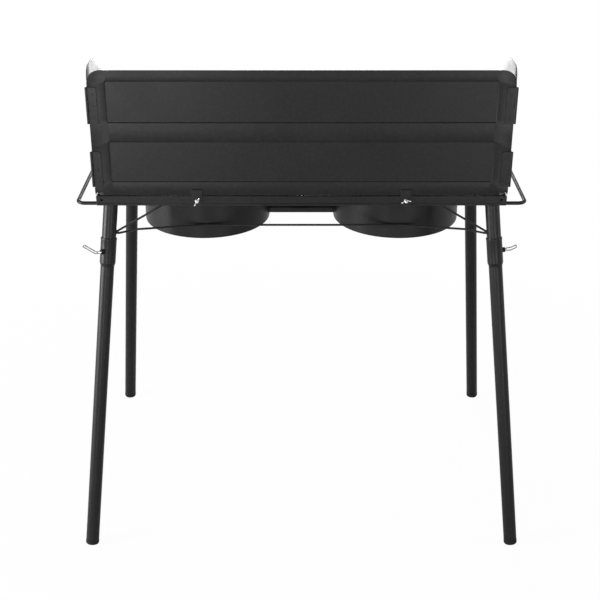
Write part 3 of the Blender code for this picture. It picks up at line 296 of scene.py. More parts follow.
def add_turned(shape, profile, place=Matrix(), steps=40):
    """Spin a closed outline of (radius, height) points about Z, then put it in its place."""
    turned = bmesh.new()
    verts = [turned.verts.new((radius, 0, height)) for radius, height in profile]
    edges = [turned.edges.new(pair) for pair in zip(verts, verts[1:])]
    if profile[0][0] > 0:
        edges.append(turned.edges.new((verts[-1], verts[0])))
    bmesh.ops.spin(turned, geom=verts + edges, axis=(0, 0, 1), cent=(0, 0, 0), steps=steps,
                   angle=2 * math.pi, use_merge=True)
    bmesh.ops.remove_doubles(turned, verts=turned.verts, dist=1e-6)
    bmesh.ops.recalc_face_normals(turned, faces=turned.faces)
    bmesh.ops.transform(turned, matrix=place, verts=turned.verts)
    mesh = bpy.data.meshes.new("turned")
    turned.to_mesh(mesh)
    turned.free()
    shape.from_mesh(mesh)
    bpy.data.meshes.remove(mesh)


for corner_name in CORNERS:
    shape = bmesh.new()
    add_turned(shape, [(STUB_BORE, STUB_SPARE), (STUB_RADIUS, STUB_SPARE),
                       (STUB_RADIUS, -STUB_LENGTH + STUB_CHAMFER), (STUB_RADIUS - STUB_CHAMFER, -STUB_LENGTH),
                       (STUB_BORE, -STUB_LENGTH)], leg_place(corner_name), steps=48)
    bmesh.ops.bisect_plane(shape, geom=shape.verts[:] + shape.edges[:] + shape.faces[:],
                           plane_co=(0, 0, DECK_BOTTOM - DECK_GAP), plane_no=(0, 0, 1), clear_outer=True)
    bmesh.ops.bridge_loops(shape, edges=[edge for edge in shape.edges if edge.is_boundary])
    bmesh.ops.recalc_face_normals(shape, faces=shape.faces)
    stub = to_mesh(f"welded_stub_{corner_name}", shape, black_powder)
    fit(stub, "stove", "powder_coat", f"leg_stub_{corner_name}")

# Bent rods. The two carrying handles and the two truss rods are round steel rod bent cold. The handles are
# butt welded to the side rails; the truss rods run down to the stubs and in along both burner drums.


def start_tree(name, sizes):
    """A Geometry Nodes tree with a named input for each size, and the sockets of its inputs."""
    tree = bpy.data.node_groups.new(name, "GeometryNodeTree")
    for label, kind in {"Geometry": "Geometry", **sizes, "Material": "Material"}.items():
        tree.interface.new_socket(label, in_out="INPUT", socket_type=f"NodeSocket{kind}")
    tree.interface.new_socket("Geometry", in_out="OUTPUT", socket_type="NodeSocketGeometry")
    return tree, add(tree, "NodeGroupInput").outputs


def end_tree(tree, given, *parts):
    """End a tree: its parts joined, made real and given the tree's material."""
    joined = add(tree, "GeometryNodeJoinGeometry")
    for part in parts:
        tree.links.new(part, joined.inputs["Geometry"])
    solid = add(tree, "GeometryNodeRealizeInstances", {"Geometry": joined.outputs["Geometry"]})
    coated = add(tree, "GeometryNodeSetMaterial", {"Geometry": solid.outputs["Geometry"],
                                                  "Material": given["Material"]})
    add(tree, "NodeGroupOutput", {"Geometry": coated.outputs["Geometry"]})
    return tree


def bent_rod_nodes():
    """A rod along a path: its corners are bent to the radius kept in the path's point radius."""
    tree, given = start_tree("bent rod", {"Rod radius": "Float", "Bend steps": "Int", "Sides": "Int"})
    bend = add(tree, "GeometryNodeInputRadius").outputs["Radius"]
    rounded = add(tree, "GeometryNodeFilletCurve", {"Curve": given["Geometry"], "Radius": bend,
                                                   "Limit Radius": True, "Count": given["Bend steps"]},
                  mode="POLY")
    even = add(tree, "GeometryNodeSetCurveRadius", {"Curve": rounded.outputs["Curve"], "Radius": 1.0})
    circle = add(tree, "GeometryNodeCurvePrimitiveCircle", {"Radius": given["Rod radius"],
                                                           "Resolution": given["Sides"]})
    rod = add(tree, "GeometryNodeCurveToMesh", {"Curve": even.outputs["Curve"],
                                               "Profile Curve": circle.outputs["Curve"], "Fill Caps": True})
    return end_tree(tree, given, rod.outputs["Mesh"])


bent_rod_tree = bent_rod_nodes()


def run_tree(piece, tree, values):
    """Run a node tree on a piece with its named inputs, and keep the result as a plain mesh."""
    modifier = piece.modifiers.new(tree.name, "NODES")
    modifier.node_group = tree
    for socket in tree.interface.items_tree:
        if socket.in_out == "INPUT" and socket.name in values:
            modifier[socket.identifier] = values[socket.name]
    return apply_modifiers(piece)


def lay_path(name, runs):
    """A path of straight runs for a node tree, each run given as (points, point radii, closed)."""
    curve = bpy.data.curves.new(name, "CURVE")
    curve.dimensions = "3D"
    for points, radii, closed in runs:
        spline = curve.splines.new("POLY")
        spline.points.add(len(points) - 1)
        for knot, point, radius in zip(spline.points, points, radii):
            knot.co = (*point, 1)
            knot.radius = radius
        spline.use_cyclic_u = closed
    path = bpy.data.objects.new(name, curve)
    bpy.context.scene.collection.objects.link(path)
    return path


def bent_rod(name, points, bends, radius, material, closed=False, sides=20):
    """A round rod along points, with the bend radius given at each."""
    rod = run_tree(lay_path(name, [(points, bends, closed)]), bent_rod_tree,
                   {"Rod radius": radius, "Bend steps": 8, "Sides": sides, "Material": material})
    rod.data.shade_smooth()
    rod.data.set_sharp_from_angle(angle=math.radians(50))
    return rod


HANDLE_RADIUS = 0.00375
HANDLE_X = 0.4514
HANDLE_Y = 0.178
HANDLE_Z = DECK_BOTTOM - 0.0018
HANDLE_BENDS = [0, 0.016, 0.016, 0]
for side_name, side in SIDES.items():
    low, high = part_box(f"side_handle_{side_name}")
    rail_x = low.x if side > 0 else high.x
    points = [(rail_x, -HANDLE_Y, HANDLE_Z), (side * HANDLE_X, -HANDLE_Y, HANDLE_Z),
              (side * HANDLE_X, HANDLE_Y, HANDLE_Z), (rail_x, HANDLE_Y, HANDLE_Z)]
    handle = bent_rod(f"carrying_handle_{side_name}", points, HANDLE_BENDS, HANDLE_RADIUS, black_powder)
    fit(handle, "stove", "powder_coat", f"side_handle_{side_name}")

TRUSS_RADIUS = 0.0022
TRUSS_Z = 0.6775
TRUSS_TOP = (0.2775, 0.183, 0.74046)
TRUSS_V = (0.374383, 0.179208)
TRUSS_ELBOW = (0.336, 0.160)
TRUSS_KINK = (0.201, 0.1370)
TRUSS_BENDS = [0, 0.0016, 0.0016, 0.030, 0.020]
for end_name, side in (("rear", -1), ("front", 1)):
    half = [TRUSS_TOP, (*TRUSS_V, TRUSS_Z + 0.004), (*TRUSS_V, TRUSS_Z - 0.001), (*TRUSS_ELBOW, TRUSS_Z),
            (*TRUSS_KINK, TRUSS_Z)]
    half = [(x, side * y, z) for x, y, z in half]
    points = [(-x, y, z) for x, y, z in half] + half[::-1]
    truss = bent_rod(f"bent_truss_rod_{end_name}", points, TRUSS_BENDS + TRUSS_BENDS[::-1], TRUSS_RADIUS,
                     black_powder)
    fit(truss, "stove", "powder_coat", f"truss_rod_{end_name}")

# Burner drums. Spun from 1.2 mm sheet and painted with satin heat paint, with the lower edge rolled inward,
# a narrow rim at the top, slots for the support bar and a hole for the mixer tube.


def heat_paint(name):
    """Silicone heat paint sprayed on sheet: satin black with a fine spray grain of about 1.5 mm and brushed
    marks from spinning that run round the drum, some 0.8 mm apart, under the paint. Soot and matting agent
    keep its mirror reflection low."""
    material, tree, shader, place = new_finish(name)
    patch = add(tree, "ShaderNodeTexNoise", {"Vector": place, "Scale": 1 / 0.05, "Detail": 3.0})
    gloss = add(tree, "ShaderNodeMapRange", {"Value": patch.outputs["Fac"], "From Min": 0.3, "From Max": 0.7,
                                            "To Min": 0.30, "To Max": 0.42})
    tone = add(tree, "ShaderNodeMix", {"Factor": patch.outputs["Fac"], "A": linear("#0f0f10"),
                                      "B": linear("#171718")}, data_type="RGBA")
    flat = add(tree, "ShaderNodeMapping", {"Vector": place, "Scale": (0.02, 0.02, 1.0)})
    rings = add(tree, "ShaderNodeTexNoise", {"Vector": flat.outputs["Vector"], "Scale": 1 / 0.0008,
                                            "Detail": 1.0})
    spray = add(tree, "ShaderNodeTexNoise", {"Vector": place, "Scale": 1 / 0.0015, "Detail": 2.0})
    height = add(tree, "ShaderNodeMath", {0: rings.outputs["Fac"], 1: spray.outputs["Fac"]}, operation="ADD")
    bump = add(tree, "ShaderNodeBump", {"Height": height.outputs["Value"], "Strength": 0.12,
                                       "Distance": 0.0002})
    plug(tree, shader, {"Base Color": tone.outputs["Result"], "Roughness": gloss.outputs["Result"],
                        "Normal": bump.outputs["Normal"], "Specular IOR Level": 0.2})
    return material


black_heat_paint = heat_paint("heat_painted_sheet")
DRUM_X = 0.204
DRUM_RADIUS = 0.1345
DRUM_WALL = 0.0012
DRUM_BOTTOM = 0.6455
DRUM_TOP = 0.7394
DRUM_LIP = 0.010
DRUM_ROLL = 0.003
BAR_HALF = 0.013
BAR_BOTTOM = 0.6557
BAR_TOP = 0.6657
BAR_GAP = 0.0004
BURNER_Z = 0.697
MIXER_HOLE = 0.0108
CUTTER_START = 0.067
for side_name, side in SIDES.items():
    inner = DRUM_RADIUS - DRUM_WALL
    roll_centre = (DRUM_RADIUS - DRUM_ROLL, DRUM_BOTTOM + DRUM_ROLL)
    profile = [(DRUM_RADIUS - DRUM_LIP, DRUM_BOTTOM)] + arc_points(*roll_centre, DRUM_ROLL, -90, 0, 5)
    profile += [(DRUM_RADIUS, DRUM_BOTTOM + 0.0045), (DRUM_RADIUS, DRUM_TOP - 0.0045),
                (DRUM_RADIUS, DRUM_TOP - 0.0025), (DRUM_RADIUS + 0.0008, DRUM_TOP - DRUM_WALL),
                (DRUM_RADIUS + 0.0032, DRUM_TOP - DRUM_WALL), (DRUM_RADIUS + 0.0035, DRUM_TOP - 0.0006),
                (DRUM_RADIUS + 0.0032, DRUM_TOP), (inner + 0.0010, DRUM_TOP), (inner, DRUM_TOP - 0.0010),
                (inner, DRUM_TOP - 0.0025), (inner, DRUM_BOTTOM + 0.0045)]
    profile += arc_points(*roll_centre, DRUM_ROLL - DRUM_WALL, 0, -90, 5)
    profile += [(DRUM_RADIUS - DRUM_LIP, DRUM_BOTTOM + DRUM_WALL)]
    shape = bmesh.new()
    add_turned(shape, profile, Matrix.Translation((side * DRUM_X, 0, 0)), steps=128)
    drum = to_mesh(f"spun_drum_{side_name}", shape, black_heat_paint)
    openings = bmesh.new()
    near, far = sorted((0.0, side * (DRUM_X - CUTTER_START)))
    add_bar(openings, (near, -BAR_HALF - BAR_GAP, BAR_BOTTOM - BAR_GAP),
            (far, BAR_HALF + BAR_GAP, BAR_TOP + BAR_GAP))
    add_pin(openings, MIXER_HOLE, (side * DRUM_X, CUTTER_START, BURNER_Z),
            (side * DRUM_X, DRUM_RADIUS + 0.010, BURNER_Z), 40)
    drill(drum, openings)
    fit(drum, "stove", "heat_paint", f"burner_drum_{side_name}")

# Support bar. A channel folded from 1.8 mm steel, open side down, that runs through the slots of both drums
# and carries both burners.
BAR_WALL = 0.0018


def ease_edges(piece, width, angle=35, segments=2):
    """Break the sharp edges of a piece with a small round."""
    bevel = piece.modifiers.new("eased edges", "BEVEL")
    bevel.width = width
    bevel.segments = segments
    bevel.limit_method = "ANGLE"
    bevel.angle_limit = math.radians(angle)
    bevel.harden_normals = False
    return apply_modifiers(piece)


low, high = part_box("burner_support_bar")
inner = BAR_HALF - BAR_WALL
section = [(-BAR_HALF, BAR_BOTTOM), (-BAR_HALF, BAR_TOP), (BAR_HALF, BAR_TOP), (BAR_HALF, BAR_BOTTOM),
           (inner, BAR_BOTTOM), (inner, BAR_TOP - BAR_WALL), (-inner, BAR_TOP - BAR_WALL),
           (-inner, BAR_BOTTOM)]
shape = bmesh.new()
add_plate(shape, [(low.x, y, z) for y, z in section], (high.x - low.x, 0, 0))
support_bar = ease_edges(to_mesh("folded_support_bar", shape, black_powder), 0.0007)
fit(support_bar, "stove", "powder_coat", "burner_support_bar")

# Burner heads. Sand-cast iron rings on a short foot that stands on the support bar, with a socket for the
# mixer tube and a ring of flame slots sawn into the rim.


def cast_iron(name):
    """Bare sand-cast iron: dull dark grey, a sand texture with grains of about 1 mm, darker where flame has
    scaled it and faintly brown with rust in patches some 25 mm across."""
    material, tree, shader, place = new_finish(name)
    patch = add(tree, "ShaderNodeTexNoise", {"Vector": place, "Scale": 1 / 0.025, "Detail": 4.0})
    rust = add(tree, "ShaderNodeMapRange", {"Value": patch.outputs["Fac"], "From Min": 0.5, "From Max": 0.75,
                                           "To Min": 0.0, "To Max": 0.45})
    tone = add(tree, "ShaderNodeMix", {"Factor": rust.outputs["Result"], "A": linear("#3a3938"),
                                      "B": linear("#4a3528")}, data_type="RGBA")
    sand = add(tree, "ShaderNodeTexNoise", {"Vector": place, "Scale": 1 / 0.001, "Detail": 3.0})
    bump = add(tree, "ShaderNodeBump", {"Height": sand.outputs["Fac"], "Strength": 0.5, "Distance": 0.0003})
    plug(tree, shader, {"Base Color": tone.outputs["Result"], "Metallic": 0.55, "Roughness": 0.68,
                        "Normal": bump.outputs["Normal"]})
    return material


def ring_cut_nodes():
    """Cuts a ring of equal slots into a casting: one slot box, repeated round Z and taken away."""
    tree, given = start_tree("ring of slots", {"Slots": "Int", "Ring radius": "Float", "Slot size": "Vector",
                                               "Centre": "Vector"})
    circle = add(tree, "GeometryNodeCurvePrimitiveCircle", {"Radius": given["Ring radius"], "Resolution": 64})
    points = add(tree, "GeometryNodeCurveToPoints", {"Curve": circle.outputs["Curve"],
                                                    "Count": given["Slots"]}, mode="COUNT")
    box = add(tree, "GeometryNodeMeshCube", {"Size": given["Slot size"]})
    slots = add(tree, "GeometryNodeInstanceOnPoints", {"Points": points.outputs["Points"],
                                                      "Instance": box.outputs["Mesh"],
                                                      "Rotation": points.outputs["Rotation"]})
    real = add(tree, "GeometryNodeRealizeInstances", {"Geometry": slots.outputs["Instances"]})
    placed = add(tree, "GeometryNodeTransform", {"Geometry": real.outputs["Geometry"],
                                                "Translation": given["Centre"]})
    sawn = add(tree, "GeometryNodeMeshBoolean", {"Mesh 1": given["Geometry"],
                                                "Mesh 2": placed.outputs["Geometry"]},
               operation="DIFFERENCE", solver="EXACT")
    return end_tree(tree, given, sawn.outputs["Mesh"])


def pointing(direction, origin):
    """A place at a point, with its +Z axis turned to a direction."""
    degrees, axis = {"+x": (90, "Y"), "+y": (-90, "X"), "-y": (90, "X")}[direction]
    return Matrix.Translation(origin) @ Matrix.Rotation(math.radians(degrees), 4, axis)


sand_cast_iron = cast_iron("sand_cast_iron")
ring_cut_tree = ring_cut_nodes()
FIT_GAP = 0.0003
BURNER_BASE = BAR_TOP + FIT_GAP
BURNER_RIM = 0.052
BURNER_TOP = 0.7245
FLAME_SLOTS = 28
FLAME_SLOT = (0.012, 0.0022, 0.0060)
for side_name, side in SIDES.items():
    centre_x = side * DRUM_X
    profile = [(0, BURNER_BASE), (0.0120, BURNER_BASE), (0.0125, BURNER_BASE + 0.0006),
               (0.0125, BURNER_BASE + 0.006), (0.0140, BURNER_BASE + 0.011), (0.017, BURNER_BASE + 0.016),
               (0.024, BURNER_BASE + 0.028), (0.034, BURNER_BASE + 0.0345),
               (BURNER_RIM - 0.006, BURNER_BASE + 0.038),
               (BURNER_RIM - 0.0018, BURNER_BASE + 0.0398), (BURNER_RIM, BURNER_BASE + 0.042),
               (BURNER_RIM, BURNER_TOP - 0.0075), (BURNER_RIM - 0.0012, BURNER_TOP - 0.0045),
               (BURNER_RIM - 0.0052, BURNER_TOP - 0.0006), (BURNER_RIM - 0.0068, BURNER_TOP),
               (0.0305, BURNER_TOP), (0.0290, BURNER_TOP - 0.0008), (0.0268, BURNER_TOP - 0.0040),
               (0.0250, BURNER_TOP - 0.0046), (0.0095, BURNER_TOP - 0.0050), (0.0070, BURNER_TOP - 0.0042),
               (0, BURNER_TOP - 0.0030)]
    shape = bmesh.new()
    add_turned(shape, profile, Matrix.Translation((centre_x, 0, 0)), steps=72)
    head = to_mesh(f"cast_burner_{side_name}", shape, sand_cast_iron)
    head = run_tree(head, ring_cut_tree, {"Slots": FLAME_SLOTS, "Ring radius": BURNER_RIM,
                                         "Slot size": FLAME_SLOT, "Material": sand_cast_iron,
                                         "Centre": (centre_x, 0, BURNER_TOP - 0.0062)})
    shape = bmesh.new()
    take_in(shape, head)
    socket = [(0, 0.020), (0, 0.042), (0.0104, 0.042), (0.0104, 0.0580), (0.0121, 0.0580), (0.0129, 0.0570),
              (0.0129, 0.020)]
    add_turned(shape, socket, pointing("+y", (centre_x, 0, BURNER_Z)), steps=40)
    head = to_mesh(f"cast_burner_{side_name}", shape, sand_cast_iron)
    fit(head, "stove", "iron", f"burner_head_{side_name}")

# Mixer tubes. Drawn steel tube from each burner out through the drum, swaged to a bell at the jet, with an
# air slot sawn into each side of the bell.


def oiled_steel(name):
    """Bare drawn steel with a thin oil film: grey metal with fine drawing marks about 0.6 mm apart and faint
    patches of stain some 18 mm across."""
    material, tree, shader, place = new_finish(name)
    patch = add(tree, "ShaderNodeTexNoise", {"Vector": place, "Scale": 1 / 0.018, "Detail": 3.0})
    gloss = add(tree, "ShaderNodeMapRange", {"Value": patch.outputs["Fac"], "From Min": 0.3, "From Max": 0.7,
                                            "To Min": 0.32, "To Max": 0.46})
    tone = add(tree, "ShaderNodeMix", {"Factor": patch.outputs["Fac"], "A": linear("#a5a6a8"),
                                      "B": linear("#6d6862")}, data_type="RGBA")
    marks = add(tree, "ShaderNodeTexNoise", {"Vector": place, "Scale": 1 / 0.0006, "Detail": 1.0})
    bump = add(tree, "ShaderNodeBump", {"Height": marks.outputs["Fac"], "Strength": 0.08, "Distance": 0.0001})
    plug(tree, shader, {"Base Color": tone.outputs["Result"], "Metallic": 1.0,
                        "Roughness": gloss.outputs["Result"], "Normal": bump.outputs["Normal"]})
    return material


drawn_steel = oiled_steel("drawn_steel_tube")
MIXER_RADIUS = 0.0100
MIXER_BORE = 0.0086
BELL_RADIUS = 0.0130
BELL_BORE = 0.0116
BELL_LENGTH = 0.013
AIR_SLOT_HALF = 0.0035
AIR_SLOT_LENGTH = 0.0056
for side_name, side in SIDES.items():
    low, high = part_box(f"mixer_tube_{side_name}")
    length = high.y - low.y
    neck = length - BELL_LENGTH
    profile = [(MIXER_BORE, 0), (MIXER_RADIUS, 0), (MIXER_RADIUS, neck - 0.002),
               (MIXER_RADIUS + 0.0004, neck), (BELL_RADIUS - 0.0006, neck + 0.0028),
               (BELL_RADIUS, neck + 0.0045), (BELL_RADIUS, length - 0.0005),
               (BELL_RADIUS - 0.0003, length), (BELL_BORE + 0.0003, length), (BELL_BORE, length - 0.0005),
               (BELL_BORE, neck + 0.0045), (BELL_BORE - 0.0006, neck + 0.0028), (MIXER_BORE + 0.0004, neck),
               (MIXER_BORE, neck - 0.002)]
    shape = bmesh.new()
    add_turned(shape, profile, pointing("+y", (side * DRUM_X, low.y, BURNER_Z)), steps=56)
    mixer = to_mesh(f"drawn_mixer_tube_{side_name}", shape, drawn_steel)
    slots = bmesh.new()
    slot_y = low.y + neck + 0.0045
    for wing in (-1, 1):
        near, far = sorted((side * DRUM_X + wing * MIXER_BORE, side * DRUM_X + wing * 0.020))
        add_bar(slots, (near, slot_y, BURNER_Z - AIR_SLOT_HALF),
                (far, slot_y + AIR_SLOT_LENGTH, BURNER_Z + AIR_SLOT_HALF))
    drill(mixer, slots)
    fit(mixer, "stove", "pipe_steel", f"mixer_tube_{side_name}")

# Gas line. A steel manifold pipe feeds two turned brass valves, whose jets point into the mixer tubes and
# whose bonnets reach the control panel; a brass hose inlet is screwed into its right end.


def turned_brass(name):
    """Turned brass: warm yellow metal with fine tool rings about 0.5 mm apart and a light brown tarnish in
    patches some 12 mm across."""
    material, tree, shader, place = new_finish(name)
    patch = add(tree, "ShaderNodeTexNoise", {"Vector": place, "Scale": 1 / 0.012, "Detail": 3.0})
    tone = add(tree, "ShaderNodeMix", {"Factor": patch.outputs["Fac"], "A": linear("#caa65a"),
                                      "B": linear("#8a6a36")}, data_type="RGBA")
    gloss = add(tree, "ShaderNodeMapRange", {"Value": patch.outputs["Fac"], "From Min": 0.3, "From Max": 0.7,
                                            "To Min": 0.24, "To Max": 0.40})
    rings = add(tree, "ShaderNodeTexNoise", {"Vector": place, "Scale": 1 / 0.0005, "Detail": 1.0})
    bump = add(tree, "ShaderNodeBump", {"Height": rings.outputs["Fac"], "Strength": 0.06, "Distance": 0.0001})
    plug(tree, shader, {"Base Color": tone.outputs["Result"], "Metallic": 1.0,
                        "Roughness": gloss.outputs["Result"], "Normal": bump.outputs["Normal"]})
    return material


brass = turned_brass("turned_brass")
MANIFOLD_Y = 0.160
MANIFOLD_RADIUS = 0.0060
MANIFOLD_BORE = 0.0042
low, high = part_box("gas_manifold")
manifold_z = (low.z + high.z) / 2
length = high.x - low.x
shape = bmesh.new()
add_turned(shape, [(0, 0), (MANIFOLD_RADIUS - 0.0010, 0), (MANIFOLD_RADIUS, 0.0010),
                   (MANIFOLD_RADIUS, length - 0.0006), (MANIFOLD_RADIUS - 0.0006, length),
                   (MANIFOLD_BORE, length), (MANIFOLD_BORE, 0.004), (0, 0.004)],
           pointing("+x", (low.x, MANIFOLD_Y, manifold_z)), steps=40)
for side in SIDES.values():
    add_turned(shape, [(0.0058, 0), (0.0070, 0.0008), (0.0070, 0.0172), (0.0058, 0.018)],
               pointing("+x", (side * DRUM_X - 0.009, MANIFOLD_Y, manifold_z)), steps=40)
manifold = to_mesh("gas_manifold_pipe", shape, drawn_steel)
fit(manifold, "stove", "pipe_steel", "gas_manifold")

INLET_SPIGOT = 0.008
INLET_BORE = 0.0025
THREAD_CREST = 0.0062
THREAD_ROOT = 0.0055
THREAD_PITCH = 0.0014
low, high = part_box("hose_inlet")
length = high.x - low.x - INLET_SPIGOT
at_inlet = pointing("+x", (low.x + INLET_SPIGOT, MANIFOLD_Y, manifold_z))
profile = [(INLET_BORE, -INLET_SPIGOT), (0.0036, -INLET_SPIGOT), (0.0038, -0.0075), (0.0038, 0),
           (THREAD_CREST, 0), (THREAD_CREST, 0.0084)]
for ridge in range(6):
    start = 0.0086 + ridge * THREAD_PITCH
    profile += [(THREAD_ROOT, start), (THREAD_CREST, start + THREAD_PITCH / 2)]
profile += [(0.0052, length * 0.87), (0.0043, length), (INLET_BORE, length)]
shape = bmesh.new()
add_turned(shape, profile, at_inlet, steps=40)
hexagon = bmesh.new()
bmesh.ops.create_cone(hexagon, cap_ends=True, segments=6, radius1=0.0078, radius2=0.0078, depth=0.0075,
                      matrix=at_inlet @ Matrix.Translation((0, 0, 0.0044)))
take_in(shape, ease_edges(to_mesh("inlet_hexagon", hexagon, brass), 0.0005))
inlet = to_mesh("brass_hose_inlet", shape, brass)
fit(inlet, "stove", "brass", "hose_inlet")

VALVE_Y = 0.154
STEM_BORE = 0.0034
STEM_DEPTH = 0.018
PANEL_FRONT = 0.194
PANEL_SHEET = 0.0012
for side_name, side in SIDES.items():
    bonnet = PANEL_FRONT - PANEL_SHEET - FIT_GAP - VALVE_Y
    profile = [(0, -0.009), (0.0026, -0.009), (0.0034, -0.0082), (0.0036, -0.0070), (0.0045, -0.0060),
               (0.0045, -0.0004), (0.0090, 0), (0.0095, 0.0005), (0.0095, 0.0052), (0.0088, 0.0060),
               (0.0088, 0.0140), (0.0095, 0.0148), (0.0095, 0.0195), (0.0090, 0.0200), (0.0072, 0.0200),
               (0.0072, bonnet - 0.0005), (0.0067, bonnet), (STEM_BORE, bonnet),
               (STEM_BORE, bonnet - STEM_DEPTH), (0, bonnet - STEM_DEPTH)]
    shape = bmesh.new()
    add_turned(shape, profile, pointing("+y", (side * DRUM_X, VALVE_Y, BURNER_Z)), steps=40)
    add_pin(shape, 0.0055, (side * DRUM_X, MANIFOLD_Y, BURNER_Z - 0.00475),
            (side * DRUM_X, MANIFOLD_Y, manifold_z + 0.0063), 40)
    valve = to_mesh(f"turned_gas_valve_{side_name}", shape, brass)
    fit(valve, "stove", "brass", f"gas_valve_{side_name}")

# Control panel. One sheet folded to a channel under the front rail, with rounded folds and a hole for each
# valve stem, coated with the deck; three printed ticks round each hole mark off, high and low.


def marking_paint(name):
    """White marking paint: matt, slightly yellowed, with a chalky grain of about 0.6 mm."""
    material, tree, shader, place = new_finish(name)
    chalk = add(tree, "ShaderNodeTexNoise", {"Vector": place, "Scale": 1 / 0.0006, "Detail": 2.0})
    tone = add(tree, "ShaderNodeMix", {"Factor": chalk.outputs["Fac"], "A": linear("#dcd9d0"),
                                      "B": linear("#f0eee8")}, data_type="RGBA")
    plug(tree, shader, {"Base Color": tone.outputs["Result"], "Roughness": 0.6})
    return material


white_filler = marking_paint("white_filler_paint")
PANEL_FOLD = 0.0016
PANEL_LIP = 0.014
STEM_HOLE = 0.0050
TICKS = ((0, 0.006), (75, 0.004), (150, 0.004))
TICK_START = 0.0250
TICK_HALF = 0.0006
PRINT_FILM = 0.00006
low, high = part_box("control_panel")
inside = PANEL_FRONT - PANEL_SHEET
section = [(low.y, high.z)]
section += arc_points(PANEL_FRONT - PANEL_FOLD, high.z - PANEL_FOLD, PANEL_FOLD, 90, 0, 4)
section += arc_points(PANEL_FRONT - PANEL_FOLD, low.z + PANEL_FOLD, PANEL_FOLD, 0, -90, 4)
section += [(PANEL_FRONT - PANEL_LIP, low.z), (PANEL_FRONT - PANEL_LIP, low.z + PANEL_SHEET),
            (inside, low.z + PANEL_SHEET), (inside, high.z - PANEL_SHEET), (low.y, high.z - PANEL_SHEET)]
shape = bmesh.new()
add_plate(shape, [(low.x, y, z) for y, z in section], (high.x - low.x, 0, 0))
panel = to_mesh("folded_control_panel", shape, black_powder)
holes = bmesh.new()
for side in SIDES.values():
    add_pin(holes, STEM_HOLE, (side * DRUM_X, PANEL_FRONT - 0.010, BURNER_Z),
            (side * DRUM_X, PANEL_FRONT + 0.010, BURNER_Z), 40)
drill(panel, holes)
shape = bmesh.new()
take_in(shape, ease_edges(panel, 0.0003))
for side in SIDES.values():
    for turn, length in TICKS:
        tick = bmesh.new()
        add_bar(tick, (-TICK_HALF, 0, TICK_START), (TICK_HALF, PRINT_FILM, TICK_START + length))
        at_tick = (Matrix.Translation((side * DRUM_X, PANEL_FRONT, BURNER_Z))
                   @ Matrix.Rotation(math.radians(turn), 4, "Y"))
        bmesh.ops.transform(tick, matrix=at_tick, verts=tick.verts)
        take_in(shape, to_mesh("tick", tick, white_filler), slot=1)
panel = to_mesh("folded_control_panel", shape, black_powder, white_filler, smooth_angle=20)
fit(panel, "stove", "powder_coat", "control_panel")

# Knobs and valve stems. Moulded phenolic knobs, finely ribbed round the skirt, with a raised grip bar and a
# white line let into it; each is pressed on a turned brass stem, which turns in its valve.


def moulded_phenolic(name):
    """Phenolic resin from a polished mould: deep black, smooth, with faint flow marks some 14 mm across and
    scuffs from fingers about 2 mm wide that dull the gloss."""
    material, tree, shader, place = new_finish(name)
    scuff = add(tree, "ShaderNodeTexNoise", {"Vector": place, "Scale": 1 / 0.002, "Detail": 4.0})
    gloss = add(tree, "ShaderNodeMapRange", {"Value": scuff.outputs["Fac"], "From Min": 0.4, "From Max": 0.7,
                                            "To Min": 0.26, "To Max": 0.44})
    flow = add(tree, "ShaderNodeTexNoise", {"Vector": place, "Scale": 1 / 0.014, "Detail": 2.0})
    tone = add(tree, "ShaderNodeMix", {"Factor": flow.outputs["Fac"], "A": linear("#131313"),
                                      "B": linear("#1d1c1c")}, data_type="RGBA")
    bump = add(tree, "ShaderNodeBump", {"Height": flow.outputs["Fac"], "Strength": 0.1, "Distance": 0.0003})
    plug(tree, shader, {"Base Color": tone.outputs["Result"], "Roughness": gloss.outputs["Result"],
                        "Normal": bump.outputs["Normal"]})
    return material


def rib_ring_nodes():
    """Stands a ring of equal ribs round Z against a turned body and joins them to it."""
    tree, given = start_tree("ring of ribs", {"Ribs": "Int", "Ring radius": "Float", "Rib radius": "Float",
                                              "Rib length": "Float", "Centre": "Vector"})
    circle = add(tree, "GeometryNodeMeshCircle", {"Vertices": given["Ribs"], "Radius": given["Ring radius"]})
    rib = add(tree, "GeometryNodeMeshCylinder", {"Vertices": 8, "Radius": given["Rib radius"],
                                                "Depth": given["Rib length"]})
    ribs = add(tree, "GeometryNodeInstanceOnPoints", {"Points": circle.outputs["Mesh"],
                                                     "Instance": rib.outputs["Mesh"]})
    real = add(tree, "GeometryNodeRealizeInstances", {"Geometry": ribs.outputs["Instances"]})
    placed = add(tree, "GeometryNodeTransform", {"Geometry": real.outputs["Geometry"],
                                                "Translation": given["Centre"]})
    return end_tree(tree, given, placed.outputs["Geometry"], given["Geometry"])


